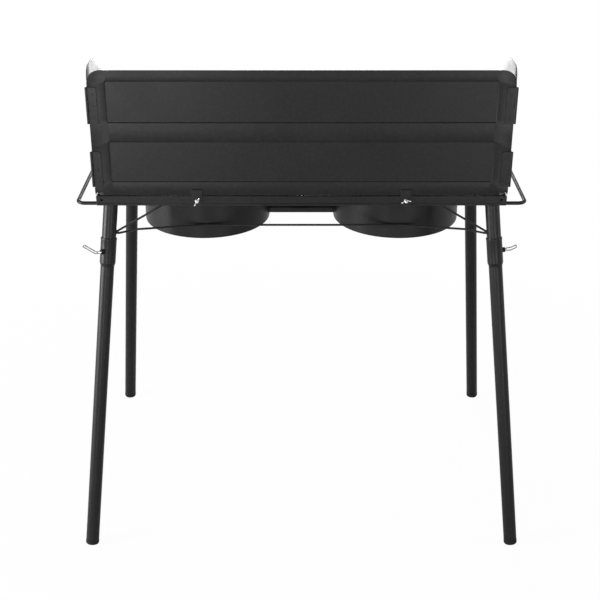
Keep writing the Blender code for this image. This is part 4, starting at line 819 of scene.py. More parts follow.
phenolic = moulded_phenolic("moulded_phenolic")
rib_ring_tree = rib_ring_nodes()
KNOB_RADIUS = 0.021
KNOB_SKIRT = 0.014
KNOB_GRIP = 0.0060
KNOB_GAP = 0.0015
KNOB_RIBS = 60
GRIP_HALF = 0.0042
GRIP_ROOT = 0.002
STEM_RADIUS = 0.0030
for side_name, side in SIDES.items():
    shape = bmesh.new()
    add_turned(shape, [(0, 0.010), (0.0033, 0.010), (0.0033, 0), (KNOB_RADIUS - 0.0009, 0),
                       (KNOB_RADIUS - 0.0003, 0.0006), (KNOB_RADIUS - 0.0005, 0.0030),
                       (KNOB_RADIUS - 0.0014, KNOB_SKIRT - 0.0026),
                       (KNOB_RADIUS - 0.0022, KNOB_SKIRT - 0.0009),
                       (KNOB_RADIUS - 0.0038, KNOB_SKIRT - 0.0002), (KNOB_RADIUS - 0.0065, KNOB_SKIRT),
                       (0, KNOB_SKIRT - 0.0004)], steps=72)
    knob = to_mesh(f"phenolic_knob_{side_name}", shape, phenolic)
    knob = run_tree(knob, rib_ring_tree, {"Ribs": KNOB_RIBS, "Ring radius": KNOB_RADIUS - 0.0010,
                                         "Rib radius": 0.0005, "Rib length": 0.0090, "Centre": (0, 0, 0.0058),
                                         "Material": phenolic})
    grip = bmesh.new()
    reach = KNOB_RADIUS * 0.86
    outline = []
    for end in (-1, 1):
        rounded_end = arc_points(0, reach - GRIP_HALF, GRIP_HALF, 0, 180, 8)
        outline += [(end * u, end * v, KNOB_SKIRT - GRIP_ROOT) for u, v in rounded_end]
    add_plate(grip, outline, (0, 0, KNOB_GRIP + GRIP_ROOT))
    line = bmesh.new()
    add_bar(line, (-0.0006, 0.0030 - reach, KNOB_SKIRT + KNOB_GRIP - 0.0006),
            (0.0006, -reach * 0.15, KNOB_SKIRT + KNOB_GRIP + 0.00008))
    shape = bmesh.new()
    take_in(shape, knob)
    take_in(shape, ease_edges(to_mesh("grip_bar", grip, phenolic), 0.0011, segments=3))
    take_in(shape, to_mesh("pointer_line", line, white_filler), slot=1)
    at_knob = pointing("+y", (side * DRUM_X, PANEL_FRONT + KNOB_GAP, BURNER_Z))
    bmesh.ops.transform(shape, matrix=at_knob, verts=shape.verts)
    knob = to_mesh(f"phenolic_knob_{side_name}", shape, phenolic, white_filler)
    fit(knob, f"knob_{side_name}", "phenolic", f"knob_{side_name}")

    low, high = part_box(f"valve_stem_{side_name}")
    length = high.y - low.y
    shape = bmesh.new()
    add_turned(shape, [(0, 0), (STEM_RADIUS - 0.0004, 0), (STEM_RADIUS, 0.0004),
                       (STEM_RADIUS, length - 0.0004), (STEM_RADIUS - 0.0004, length), (0, length)],
               pointing("+y", (side * DRUM_X, low.y, BURNER_Z)), steps=32)
    stem = to_mesh(f"turned_valve_stem_{side_name}", shape, brass)
    fit(stem, f"knob_{side_name}", "brass", f"valve_stem_{side_name}")

# Cooking grates. Two grates of flat steel bar on edge, welded at the crossings, dipped in black vitreous
# enamel, lying loose on the deck's flange so that each lifts out.


def vitreous_enamel(name):
    """Glass enamel fused on steel: glossy black with a soft ripple some 5 mm across, and grey heat bloom in
    patches of about 40 mm."""
    material, tree, shader, place = new_finish(name)
    bloom = add(tree, "ShaderNodeTexNoise", {"Vector": place, "Scale": 1 / 0.04, "Detail": 4.0})
    tone = add(tree, "ShaderNodeMix", {"Factor": bloom.outputs["Fac"], "A": linear("#101011"),
                                      "B": linear("#29292b")}, data_type="RGBA")
    gloss = add(tree, "ShaderNodeMapRange", {"Value": bloom.outputs["Fac"], "From Min": 0.35, "From Max": 0.7,
                                            "To Min": 0.18, "To Max": 0.36})
    ripple = add(tree, "ShaderNodeTexNoise", {"Vector": place, "Scale": 1 / 0.005, "Detail": 1.0})
    bump = add(tree, "ShaderNodeBump", {"Height": ripple.outputs["Fac"], "Strength": 0.2, "Distance": 0.0004})
    plug(tree, shader, {"Base Color": tone.outputs["Result"], "Roughness": gloss.outputs["Result"],
                        "Normal": bump.outputs["Normal"]})
    return material


def grate_nodes():
    """A grate: a row of long bars and a row of cross bars, joined to a frame."""
    sizes = {}
    for kind in ("long bar", "cross bar"):
        sizes |= {f"Number of {kind}s": "Int", f"First {kind}": "Vector", f"Step of {kind}s": "Vector",
                  f"Size of {kind}s": "Vector"}
    tree, given = start_tree("welded grate", sizes)
    rows = []
    for kind in ("long bar", "cross bar"):
        row = add(tree, "GeometryNodeMeshLine", {"Count": given[f"Number of {kind}s"],
                                                "Start Location": given[f"First {kind}"],
                                                "Offset": given[f"Step of {kind}s"]})
        bar = add(tree, "GeometryNodeMeshCube", {"Size": given[f"Size of {kind}s"]})
        bars = add(tree, "GeometryNodeInstanceOnPoints", {"Points": row.outputs["Mesh"],
                                                         "Instance": bar.outputs["Mesh"]})
        rows.append(bars.outputs["Instances"])
    return end_tree(tree, given, given["Geometry"], *rows)


grate_enamel = vitreous_enamel("vitreous_enamel")
grate_tree = grate_nodes()
FRAME_BAR = 0.005
GRATE_BAR = 0.004
LONG_BARS = 8
CROSS_BAR_Y = 0.062
for side_name, side in SIDES.items():
    low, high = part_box(f"grate_{side_name}")
    middle_z = (low.z + high.z) / 2
    height = high.z - low.z
    shape = bmesh.new()
    for near, far in ((low.x, low.x + FRAME_BAR), (high.x - FRAME_BAR, high.x)):
        add_bar(shape, (near, low.y, low.z), (far, high.y, high.z))
    for near, far in ((low.y, low.y + FRAME_BAR), (high.y - FRAME_BAR, high.y)):
        add_bar(shape, (low.x, near, low.z), (high.x, far, high.z))
    grate = to_mesh(f"enamelled_grate_{side_name}", shape, grate_enamel)
    pitch = (high.x - low.x - FRAME_BAR) / (LONG_BARS + 1)
    grate = run_tree(grate, grate_tree, {
        "Number of long bars": LONG_BARS, "First long bar": (low.x + FRAME_BAR / 2 + pitch, 0, middle_z),
        "Step of long bars": (pitch, 0, 0),
        "Size of long bars": (GRATE_BAR, high.y - low.y - FRAME_BAR, height - 0.0002),
        "Number of cross bars": 2, "First cross bar": ((low.x + high.x) / 2, -CROSS_BAR_Y, middle_z - 0.0016),
        "Step of cross bars": (0, 2 * CROSS_BAR_Y, 0),
        "Size of cross bars": (high.x - low.x - FRAME_BAR, GRATE_BAR, height - 0.0036),
        "Material": grate_enamel})
    grate = ease_edges(grate, 0.0011, segments=3)
    fit(grate, f"grate_{side_name}", "grate_enamel", f"grate_{side_name}")

# Wind screen. Three sheets of 1.2 mm steel, each stiffened by long fields pressed in from outside, with
# rounded free corners; the back stands on the rear rail and the sides are cut down towards the front.
SHEET = 0.0012
SCREEN_X = 0.4103
SCREEN_BOTTOM = 0.7649
BACK_TOP = 1.0170
BACK_CORNER = 0.026
FOOT_NOTCH = (0.016, 0.005)
HINGE_NOTCH = 0.0017
HINGE_NOTCH_GAP = 0.002
SIDE_TOP = 1.0215
SIDE_CORNER = 0.022
SIDE_FOLD_Y = -0.104
SIDE_FOLD_RADIUS = 0.150
SIDE_SLOPE = 23.5
FIELD_DEPTH = 0.0014
FIELD_SLOPE = 0.0026
FIELD_CORNER = 0.006
FIELD_MARGIN = 0.0323
SIDE_FIELD_MARGIN = 0.038
LOWER_FIELD = (0.0266, 0.1121)
UPPER_FIELD = (0.1476, 0.2326)
HINGE_X = 0.4118
HINGE_Y = -0.1949
HINGE_LENGTH = 0.072
HINGE_STARTS = {"lower": 0.0181, "upper": 0.1471}


def pressed_sheet(name, outline, fields, place):
    """A sheet with its outline in (u, v), pressed inward over each field; +w of its place is outward."""
    shape = bmesh.new()
    shape.faces.new([shape.verts.new((u, v, 0)) for u, v in outline])
    for low_u, low_v, high_u, high_v in fields:
        for axis, low, high in ((Vector((1, 0, 0)), low_u, high_u), (Vector((0, 1, 0)), low_v, high_v)):
            for step in range(9):
                for value in (low + FIELD_SLOPE * step / 4, high - FIELD_SLOPE * step / 4):
                    bmesh.ops.bisect_plane(shape, geom=shape.verts[:] + shape.edges[:] + shape.faces[:],
                                           dist=1e-6, plane_co=axis * value, plane_no=axis)
    for vert in shape.verts:
        deepest = 0
        for low_u, low_v, high_u, high_v in fields:
            out_u = abs(vert.co.x - (low_u + high_u) / 2) - (high_u - low_u) / 2 + FIELD_CORNER
            out_v = abs(vert.co.y - (low_v + high_v) / 2) - (high_v - low_v) / 2 + FIELD_CORNER
            outside = math.hypot(max(out_u, 0), max(out_v, 0)) + min(max(out_u, out_v), 0) - FIELD_CORNER
            way_in = min(max(-outside / FIELD_SLOPE, 0), 1)
            deepest = max(deepest, way_in * way_in * (3 - 2 * way_in))
        vert.co.z = -FIELD_DEPTH * deepest
    bmesh.ops.recalc_face_normals(shape, faces=shape.faces)
    if sum(face.normal.z for face in shape.faces) < 0:
        bmesh.ops.reverse_faces(shape, faces=shape.faces)
    sheet = to_mesh(name, shape, black_powder)
    wall = sheet.modifiers.new("sheet", "SOLIDIFY")
    wall.thickness = SHEET
    wall.offset = -1
    wall.use_even_offset = True
    apply_modifiers(sheet)
    sheet.data.transform(place)
    return ease_edges(sheet, 0.00035, angle=60)


edge = [(SCREEN_X - FOOT_NOTCH[0], SCREEN_BOTTOM), (SCREEN_X - FOOT_NOTCH[0], SCREEN_BOTTOM + FOOT_NOTCH[1]),
        (SCREEN_X, SCREEN_BOTTOM + FOOT_NOTCH[1])]
for start in HINGE_STARTS.values():
    near = SCREEN_BOTTOM + start - HINGE_NOTCH_GAP
    far = SCREEN_BOTTOM + start + HINGE_LENGTH + HINGE_NOTCH_GAP
    edge += [(SCREEN_X, near), (SCREEN_X - HINGE_NOTCH, near), (SCREEN_X - HINGE_NOTCH, far), (SCREEN_X, far)]
edge += arc_points(SCREEN_X - BACK_CORNER, BACK_TOP - BACK_CORNER, BACK_CORNER, 0, 90)
back_outline = edge + [(-u, v) for u, v in reversed(edge)]
field_x = SCREEN_X - FIELD_MARGIN
back_fields = [(-field_x, SCREEN_BOTTOM + low, field_x, SCREEN_BOTTOM + high)
               for low, high in (LOWER_FIELD, UPPER_FIELD)]
face_back = Matrix(((1, 0, 0, 0), (0, 0, -1, -DECK_HALF_Y), (0, 1, 0, 0), (0, 0, 0, 1)))
back_sheet = pressed_sheet("pressed_back_sheet", back_outline, back_fields, face_back)
fit(back_sheet, "windscreen", "powder_coat", "windscreen_back")

for side_name, side in SIDES.items():
    low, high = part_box(f"windscreen_{side_name}")
    front_top = SIDE_TOP - (high.y - SIDE_FOLD_Y) * math.tan(math.radians(SIDE_SLOPE))
    front_cut = SIDE_CORNER * math.tan(math.radians((90 - SIDE_SLOPE) / 2))
    fold_cut = SIDE_FOLD_RADIUS * math.tan(math.radians(SIDE_SLOPE / 2))
    outline = [(low.y, SCREEN_BOTTOM), (high.y, SCREEN_BOTTOM)]
    outline += arc_points(high.y - SIDE_CORNER, front_top - front_cut, SIDE_CORNER, 0, 90 - SIDE_SLOPE)
    outline += arc_points(SIDE_FOLD_Y - fold_cut, SIDE_TOP - SIDE_FOLD_RADIUS, SIDE_FOLD_RADIUS,
                          90 - SIDE_SLOPE, 90)
    outline += arc_points(low.y + SIDE_CORNER, SIDE_TOP - SIDE_CORNER, SIDE_CORNER, 90, 180)
    near_v, far_v = [SCREEN_BOTTOM + height for height in LOWER_FIELD]
    if side > 0:
        fields = [(low.y + SIDE_FIELD_MARGIN, near_v, high.y - SIDE_FIELD_MARGIN, far_v)]
    else:
        outline = [(-u, v) for u, v in reversed(outline)]
        fields = [(SIDE_FIELD_MARGIN - high.y, near_v, -low.y - SIDE_FIELD_MARGIN, far_v)]
    place = Matrix(((0, 0, side, side * SCREEN_X), (side, 0, 0, 0), (0, 1, 0, 0), (0, 0, 0, 1)))
    side_sheet = pressed_sheet(f"pressed_side_sheet_{side_name}", outline, fields, place)
    fit(side_sheet, f"side_screen_{side_name}", "powder_coat", f"windscreen_{side_name}")

# Screen hinges. Butt hinges stamped from 1.2 mm sheet with rolled knuckles, spot welded to the back sheet
# and to a side sheet; each pin is held in the back leaf's two knuckles with riveted-over ends.
KNUCKLE = 0.0026
KNUCKLE_LENGTH = HINGE_LENGTH / 3
KNUCKLE_GAP = 0.0004
PIN = 0.0012
PIN_HEAD = 0.0017
LEAF = 0.0186
LEAF_CORNER = 0.0025
RELIEF = KNUCKLE + 0.0006


def spot_row_nodes():
    """A row of round spot-weld marks: low domes repeated along a line of points."""
    tree, given = start_tree("row of spots", {"Spots": "Int", "First spot": "Vector", "Spot step": "Vector",
                                              "Spot radius": "Float", "Spot scale": "Vector"})
    row = add(tree, "GeometryNodeMeshLine", {"Count": given["Spots"], "Start Location": given["First spot"],
                                            "Offset": given["Spot step"]})
    dome = add(tree, "GeometryNodeMeshUVSphere", {"Segments": 16, "Rings": 8, "Radius": given["Spot radius"]})
    spots = add(tree, "GeometryNodeInstanceOnPoints", {"Points": row.outputs["Mesh"],
                                                      "Instance": dome.outputs["Mesh"],
                                                      "Scale": given["Spot scale"]})
    return end_tree(tree, given, spots.outputs["Instances"], given["Geometry"])


spot_row_tree = spot_row_nodes()


def leaf_outline(reach_at_ends, reach_in_middle, step):
    """A stamped leaf as (distance from the hinge axis, height above its lower end). Its hinge edge steps
    aside where the other leaf has its knuckles, and its free corners are round."""
    outline = [(reach_at_ends, 0), (reach_at_ends, step), (reach_in_middle, step),
               (reach_in_middle, HINGE_LENGTH - step), (reach_at_ends, HINGE_LENGTH - step),
               (reach_at_ends, HINGE_LENGTH)]
    outline += arc_points(LEAF - LEAF_CORNER, HINGE_LENGTH - LEAF_CORNER, LEAF_CORNER, 90, 0, 4)
    outline += arc_points(LEAF - LEAF_CORNER, LEAF_CORNER, LEAF_CORNER, 0, -90, 4)
    return outline


def add_knuckle(shape, bore, length, place):
    """A rolled knuckle round the hinge axis."""
    add_turned(shape, [(bore, 0), (KNUCKLE - 0.0003, 0), (KNUCKLE, 0.0003), (KNUCKLE, length - 0.0003),
                       (KNUCKLE - 0.0003, length), (bore, length)], Matrix.Translation(place), steps=28)


def fit_leaf(name, shape, first_spot, spot_scale, body, node):
    """Put three spot welds on a leaf, shade it and fix it to its body."""
    leaf = run_tree(to_mesh(name, shape, black_powder), spot_row_tree, {
        "Spots": 3, "First spot": first_spot, "Spot step": (0, 0, HINGE_LENGTH * 0.32), "Spot radius": 0.0021,
        "Spot scale": spot_scale, "Material": black_powder})
    leaf.data.shade_smooth()
    leaf.data.set_sharp_from_angle(angle=math.radians(40))
    fit(leaf, body, "powder_coat", node)


for side_name, side in SIDES.items():
    for level, start in HINGE_STARTS.items():
        low_z = SCREEN_BOTTOM + start
        spot_z = low_z + HINGE_LENGTH * 0.18
        axis_x = side * HINGE_X
        shape = bmesh.new()
        add_plate(shape, [(side * (HINGE_X - reach), HINGE_Y - SHEET / 2, low_z + rise)
                          for reach, rise in leaf_outline(0, RELIEF, KNUCKLE_LENGTH)], (0, SHEET, 0))
        for knuckle_z in (low_z, low_z + HINGE_LENGTH - KNUCKLE_LENGTH):
            add_knuckle(shape, PIN, KNUCKLE_LENGTH, (axis_x, HINGE_Y, knuckle_z))
        head = [(0, -0.0004), (0.0011, -0.0004), (PIN_HEAD, -0.0001), (PIN_HEAD, 0.0002), (PIN, 0.0003)]
        add_turned(shape, head + [(radius, HINGE_LENGTH - height) for radius, height in reversed(head)],
                   Matrix.Translation((axis_x, HINGE_Y, low_z)), steps=20)
        fit_leaf(f"stamped_back_leaf_{level}_{side_name}", shape,
                 (side * (HINGE_X - LEAF * 0.62), HINGE_Y - SHEET / 2, spot_z), (1, 0.12, 1),
                 "windscreen", f"hinge_leaf_back_{level}_{side_name}")

        leaf_x = side * (SCREEN_X + FIT_GAP)
        step = KNUCKLE_LENGTH + KNUCKLE_GAP
        shape = bmesh.new()
        add_plate(shape, [(leaf_x, HINGE_Y + reach, low_z + rise)
                          for reach, rise in leaf_outline(RELIEF, PIN, step)], (side * SHEET, 0, 0))
        add_knuckle(shape, PIN + 0.0003, HINGE_LENGTH - 2 * step, (axis_x, HINGE_Y, low_z + step))
        fit_leaf(f"stamped_side_leaf_{level}_{side_name}", shape,
                 (leaf_x + side * SHEET, HINGE_Y + LEAF * 0.62, spot_z), (0.12, 1, 1),
                 f"side_screen_{side_name}", f"hinge_leaf_side_{level}_{side_name}")

# Clips, bolts and wing nuts. A slotted clip spot welded to the back sheet drops over an M5 bolt through the
# rear rail, and a zinc-plated wing nut clamps it there.


def zinc_plate_painted_tone(name, dull, bright):
    """Electroplated zinc: blue-white metal between a dull and a bright tone, with a cloudy passivation bloom
    in patches about 5 mm across that is raised a little and varies the gloss. The tones are painted light:
    each use raises or lowers them, as a painted highlight on the bolts, nuts and screw bodies and as painted
    shade on the lever wire."""
    material, tree, shader, place = new_finish(name)
    cloud = add(tree, "ShaderNodeTexNoise", {"Vector": place, "Scale": 1 / 0.005, "Detail": 4.0})
    tone = add(tree, "ShaderNodeMix", {"Factor": cloud.outputs["Fac"], "A": linear(dull),
                                      "B": linear(bright)}, data_type="RGBA")
    gloss = add(tree, "ShaderNodeMapRange", {"Value": cloud.outputs["Fac"], "From Min": 0.3, "From Max": 0.7,
                                            "To Min": 0.20, "To Max": 0.38})
    bump = add(tree, "ShaderNodeBump", {"Height": cloud.outputs["Fac"], "Strength": 0.08, "Distance": 0.0003})
    plug(tree, shader, {"Base Color": tone.outputs["Result"], "Metallic": 1.0,
                        "Roughness": gloss.outputs["Result"], "Normal": bump.outputs["Normal"]})
    return material


def thread_nodes():
    """A rolled thread: a ridge wound along the bolt as a spiral."""
    tree, given = start_tree("rolled thread", {"Turns": "Float", "Thread radius": "Float", "Length": "Float",
                                               "Ridge": "Float", "Start": "Vector"})
    spiral = add(tree, "GeometryNodeCurveSpiral", {"Resolution": 20, "Rotations": given["Turns"],
                                                  "Start Radius": given["Thread radius"],
                                                  "End Radius": given["Thread radius"],
                                                  "Height": given["Length"]})
    ridge = add(tree, "GeometryNodeCurvePrimitiveCircle", {"Radius": given["Ridge"], "Resolution": 5})
    thread = add(tree, "GeometryNodeCurveToMesh", {"Curve": spiral.outputs["Curve"],
                                                  "Profile Curve": ridge.outputs["Curve"], "Fill Caps": True})
    placed = add(tree, "GeometryNodeTransform", {"Geometry": thread.outputs["Mesh"],
                                                "Translation": given["Start"]})
    return end_tree(tree, given, placed.outputs["Geometry"], given["Geometry"])


# Bolts, wing nuts and screw bodies: zinc in a raised tone, a painted highlight.
zinc = zinc_plate_painted_tone("zinc_plate_painted_highlight", "#c3c7cb", "#e4e6e8")
thread_tree = thread_nodes()
CLIP_HALF = 0.01075
CLIP_SHEET = 0.0015
CLIP_CHAMFER = 0.0015
CLIP_CORNER = 0.002
CLIP_FACE = -DECK_HALF_Y - FIT_GAP - CLIP_SHEET
BOLT = 0.0024
BOLT_CORE = 0.0021
BOLT_NECK = 0.0034
BOLT_PITCH = 0.0008
NUT_TURNS = {"left": -58, "right": -13}
EAR = [(0.0030, -0.0012), (0.0044, -0.0022), (0.0064, -0.0034), (0.0082, -0.0054), (0.0095, -0.0078),
       (0.0098, -0.0096), (0.0091, -0.0105), (0.0075, -0.0105), (0.0061, -0.0096), (0.0049, -0.0078),
       (0.0036, -0.0056)]
EAR_HALF = 0.0011
for side_name, side in SIDES.items():
    x = side * CLIP_X
    low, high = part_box(f"panel_clip_{side_name}")
    slot_half = BOLT + 0.0004
    outline = [(x - CLIP_HALF, low.z + CLIP_CHAMFER), (x - CLIP_HALF + CLIP_CHAMFER, low.z),
               (x - slot_half, low.z)]
    outline += arc_points(x, HOLE_Z + 0.0003, slot_half, 180, 0)
    outline += [(x + slot_half, low.z), (x + CLIP_HALF - CLIP_CHAMFER, low.z),
                (x + CLIP_HALF, low.z + CLIP_CHAMFER)]
    outline += arc_points(x + CLIP_HALF - CLIP_CORNER, high.z - CLIP_CORNER, CLIP_CORNER, 0, 90, 4)
    outline += arc_points(x - CLIP_HALF + CLIP_CORNER, high.z - CLIP_CORNER, CLIP_CORNER, 90, 180, 4)
    shape = bmesh.new()
    add_plate(shape, [(u, CLIP_FACE, v) for u, v in outline], (0, CLIP_SHEET, 0))
    clip = ease_edges(to_mesh(f"slotted_clip_{side_name}", shape, black_powder), 0.0003)
    fit(clip, "windscreen", "powder_coat", f"panel_clip_{side_name}")

    low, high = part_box(f"clip_bolt_{side_name}")
    length = high.y - low.y
    shape = bmesh.new()
    add_turned(shape, [(0, 0), (0.0022, 0.0001), (0.0038, 0.0006), (0.0048, 0.0016), (0.0050, 0.0025),
                       (BOLT, 0.0025), (BOLT_CORE, BOLT_NECK), (BOLT_CORE, length - 0.0008),
                       (0.0015, length), (0, length)], steps=32)
    bolt = to_mesh(f"plated_bolt_{side_name}", shape, zinc)
    thread_length = length - BOLT_NECK - 0.0012
    bolt = run_tree(bolt, thread_tree, {"Turns": thread_length / BOLT_PITCH, "Thread radius": BOLT_CORE,
                                       "Length": thread_length, "Ridge": 0.00034,
                                       "Start": (0, 0, BOLT_NECK), "Material": zinc})
    bolt.data.transform(pointing("-y", (x, high.y, HOLE_Z)))
    fit(bolt, "stove", "zinc", f"clip_bolt_{side_name}")

    at_nut = (pointing("+y", (x, CLIP_FACE - FIT_GAP, HOLE_Z))
              @ Matrix.Rotation(math.radians(NUT_TURNS[side_name]), 4, "Z"))
    shape = bmesh.new()
    add_turned(shape, [(0.0028, 0), (0.0043, 0), (0.0046, -0.0004), (0.0045, -0.0016), (0.0038, -0.0055),
                       (0.0034, -0.0060), (0.0028, -0.0060)], steps=32)
    for wing in (-1, 1):
        ear = bmesh.new()
        add_plate(ear, [(wing * reach, -EAR_HALF, rise) for reach, rise in EAR], (0, 2 * EAR_HALF, 0))
        take_in(shape, ease_edges(to_mesh("ear", ear, zinc), 0.0007, segments=3))
    bmesh.ops.transform(shape, matrix=at_nut, verts=shape.verts)
    nut = to_mesh(f"plated_wing_nut_{side_name}", shape, zinc)
    fit(nut, f"wing_nut_{side_name}", "zinc", f"wing_nut_{side_name}")

# Legs and weld beads. Legs of 28 mm steel tube, swaged out at the top to a socket that slides over the stub,
# with a weld nut for the thumb screw and two holes in the inner side, coated like the deck. The beads are
# rippled; those of the deck, round its stubs, handles and truss rods, are laid here too.
SOCKET_TOP = 0.0773
SOCKET_LENGTH = 0.0511
SOCKET_BORE = 0.0149
SOCKET_RADIUS = 0.0161
SOCKET_TAPER = 0.009
TUBE_RADIUS = 0.0139
TUBE_BORE = 0.0124
LEG_LENGTH = (Vector((*LEG_TOP, DECK_BOTTOM)) - Vector((*LEG_FOOT, 0))).length
LEG_HOLE = 0.0025
LEG_HOLE_HEIGHTS = (0.403, 0.487)
FOOT_HEAD = 0.010
SCREW_DROP = SOCKET_TOP + 0.0280
SCREW_HOLE = 0.0031
WELD_NUT = 0.0055
SCREW_TURNS = {"rear_left": (55, 230), "rear_right": (-11, 86), "front_left": (20, 60),
               "front_right": (-15, 40)}


def weld_bead_nodes():
    """A weld bead along a path: overlapping ripples, one for each dip of the filler rod."""
    tree, given = start_tree("weld bead", {"Ripple spacing": "Float", "Bead radius": "Float"})
    points = add(tree, "GeometryNodeCurveToPoints", {"Curve": given["Geometry"],
                                                    "Length": given["Ripple spacing"]}, mode="LENGTH")
    ripple = add(tree, "GeometryNodeMeshIcoSphere", {"Radius": given["Bead radius"], "Subdivisions": 2})
    ripples = add(tree, "GeometryNodeInstanceOnPoints", {"Points": points.outputs["Points"],
                                                        "Instance": ripple.outputs["Mesh"],
                                                        "Rotation": points.outputs["Rotation"],
                                                        "Scale": (1.0, 1.0, 0.7)})
    return end_tree(tree, given, ripples.outputs["Instances"])


weld_bead_tree = weld_bead_nodes()


def weld_bead(name, paths, body, radius=0.0011):
    """Weld beads along closed or open paths, each (points, closed), as one piece on a body."""
    path = lay_path(name, [(points, [1] * len(points), closed) for points, closed in paths])
    bead = run_tree(path, weld_bead_tree, {"Ripple spacing": radius * 1.2, "Bead radius": radius,
                                          "Material": black_powder})
    bead.data.shade_smooth()
    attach(bead, body)


def ring_points(place, radius, steps=24):
    """A ring of points round a place's axis."""
    return [place @ Vector((u, v, 0)) for u, v in arc_points(0, 0, radius, 0, 360, steps)[:-1]]


def screw_side(corner_name):
    """A leg's place, turned until its thumb screw is on +X."""
    side_x, side_y = CORNERS[corner_name]
    return leg_place(corner_name, math.radians(SCREW_TURNS[corner_name][0]) * side_x * side_y)


deck_welds = []
for corner_name in CORNERS:
    place = leg_place(corner_name)
    up = place.to_3x3() @ Vector((0, 0, 1))
    ring = [point + up * ((DECK_BOTTOM - 0.0009 - point.z) / up.z)
            for point in ring_points(place, STUB_RADIUS + 0.0003, 36)]
    deck_welds.append((ring, True))
for side in SIDES.values():
    for end in (-1, 1):
        at_end = pointing("+x", (side * (DECK_HALF_X + 0.0008), end * HANDLE_Y, HANDLE_Z))
        deck_welds.append((ring_points(at_end, HANDLE_RADIUS + 0.0002), True))
        for edge_y in (-1, 1):
            x = side * (TRUSS_V[0] + TRUSS_RADIUS)
            y = end * TRUSS_V[1] + edge_y * 0.0017
            deck_welds.append(([(x, y, TRUSS_Z - 0.002), (x, y, TRUSS_Z + 0.005)], False))
weld_bead("deck_weld_beads", deck_welds, "stove")

for corner_name in CORNERS:
    place = screw_side(corner_name)
    top = -SOCKET_TOP
    shoulder = top - SOCKET_LENGTH
    end = -(LEG_LENGTH - FOOT_HEAD - FIT_GAP)
    profile = [(SOCKET_BORE, top - 0.0005), (SOCKET_BORE + 0.0004, top), (SOCKET_RADIUS + 0.0002, top),
               (SOCKET_RADIUS + 0.0005, top - 0.0006), (SOCKET_RADIUS + 0.0005, top - 0.0030),
               (SOCKET_RADIUS, top - 0.0048), (SOCKET_RADIUS, shoulder + 0.001)]
    for step in range(1, 9):
        way = step / 9
        ease = way * way * (3 - 2 * way)
        profile.append((SOCKET_RADIUS + (TUBE_RADIUS - SOCKET_RADIUS) * ease, shoulder - SOCKET_TAPER * way))
    profile += [(TUBE_RADIUS, shoulder - SOCKET_TAPER - 0.001), (TUBE_RADIUS, end), (TUBE_BORE, end),
                (TUBE_BORE, shoulder - SOCKET_TAPER), (SOCKET_BORE, shoulder)]
    shape = bmesh.new()
    add_turned(shape, profile, place, steps=56)
    leg = to_mesh(f"swaged_leg_{corner_name}", shape, black_powder)
    holes = bmesh.new()
    for height in LEG_HOLE_HEIGHTS:
        drop = -(DECK_BOTTOM - height) * LEG_LENGTH / DECK_BOTTOM
        add_pin(holes, LEG_HOLE, place @ Vector((-0.023, 0, drop)), place @ Vector((-0.004, 0, drop)))
    at_nut = place @ pointing("+x", (0, 0, -SCREW_DROP))
    add_pin(holes, SCREW_HOLE, at_nut @ Vector((0, 0, 0.004)), at_nut @ Vector((0, 0, 0.024)))
    drill(leg, holes)
    nut = bmesh.new()
    nut_low = SOCKET_BORE + 0.0006
    nut_high = SOCKET_RADIUS + WELD_NUT
    bmesh.ops.create_cone(nut, cap_ends=True, segments=6, radius1=WELD_NUT, radius2=WELD_NUT,
                          depth=nut_high - nut_low,
                          matrix=at_nut @ Matrix.Translation((0, 0, (nut_low + nut_high) / 2)))
    weld_nut = to_mesh("weld_nut", nut, black_powder)
    bore = bmesh.new()
    add_pin(bore, SCREW_HOLE, at_nut @ Vector((0, 0, nut_low - 0.002)),
            at_nut @ Vector((0, 0, nut_high + 0.002)))
    drill(weld_nut, bore)
    shape = bmesh.new()
    take_in(shape, leg)
    take_in(shape, ease_edges(weld_nut, 0.0005))
    leg = to_mesh(f"swaged_leg_{corner_name}", shape, black_powder)
    fit(leg, f"leg_{corner_name}", "powder_coat", f"leg_{corner_name}")
    nut_ring = []
    for point in ring_points(at_nut, 0.0052):
        local = place.inverted() @ point
        local.x = math.sqrt(max((SOCKET_RADIUS + 0.0003) ** 2 - local.y ** 2, 0))
        nut_ring.append(place @ local)
    weld_bead(f"nut_weld_bead_{corner_name}", [(nut_ring, True)], f"leg_{corner_name}", 0.0009)

# Foot caps. Moulded rubber plugs pushed into the tube ends. The head below the tube has a grip ring round
# its side and a rounded edge, worn flat where it meets the ground.


def moulded_rubber(name):
    """Carbon-black rubber from a matt mould: flat dark grey with a low mirror reflection, a fine sandy grain
    of about 0.7 mm and pale dust settled in patches some 10 mm across."""
    material, tree, shader, place = new_finish(name)
    dust = add(tree, "ShaderNodeTexNoise", {"Vector": place, "Scale": 1 / 0.010, "Detail": 4.0})
    amount = add(tree, "ShaderNodeMapRange", {"Value": dust.outputs["Fac"], "From Min": 0.5, "From Max": 0.8,
                                             "To Min": 0.0, "To Max": 0.25})
    tone = add(tree, "ShaderNodeMix", {"Factor": amount.outputs["Result"], "A": linear("#101011"),
                                      "B": linear("#2f2d2a")}, data_type="RGBA")
    sand = add(tree, "ShaderNodeTexNoise", {"Vector": place, "Scale": 1 / 0.0007, "Detail": 2.0})
    bump = add(tree, "ShaderNodeBump", {"Height": sand.outputs["Fac"], "Strength": 0.25, "Distance": 0.0002})
    plug(tree, shader, {"Base Color": tone.outputs["Result"], "Roughness": 0.72,
                        "Normal": bump.outputs["Normal"], "Specular IOR Level": 0.2})
    return material


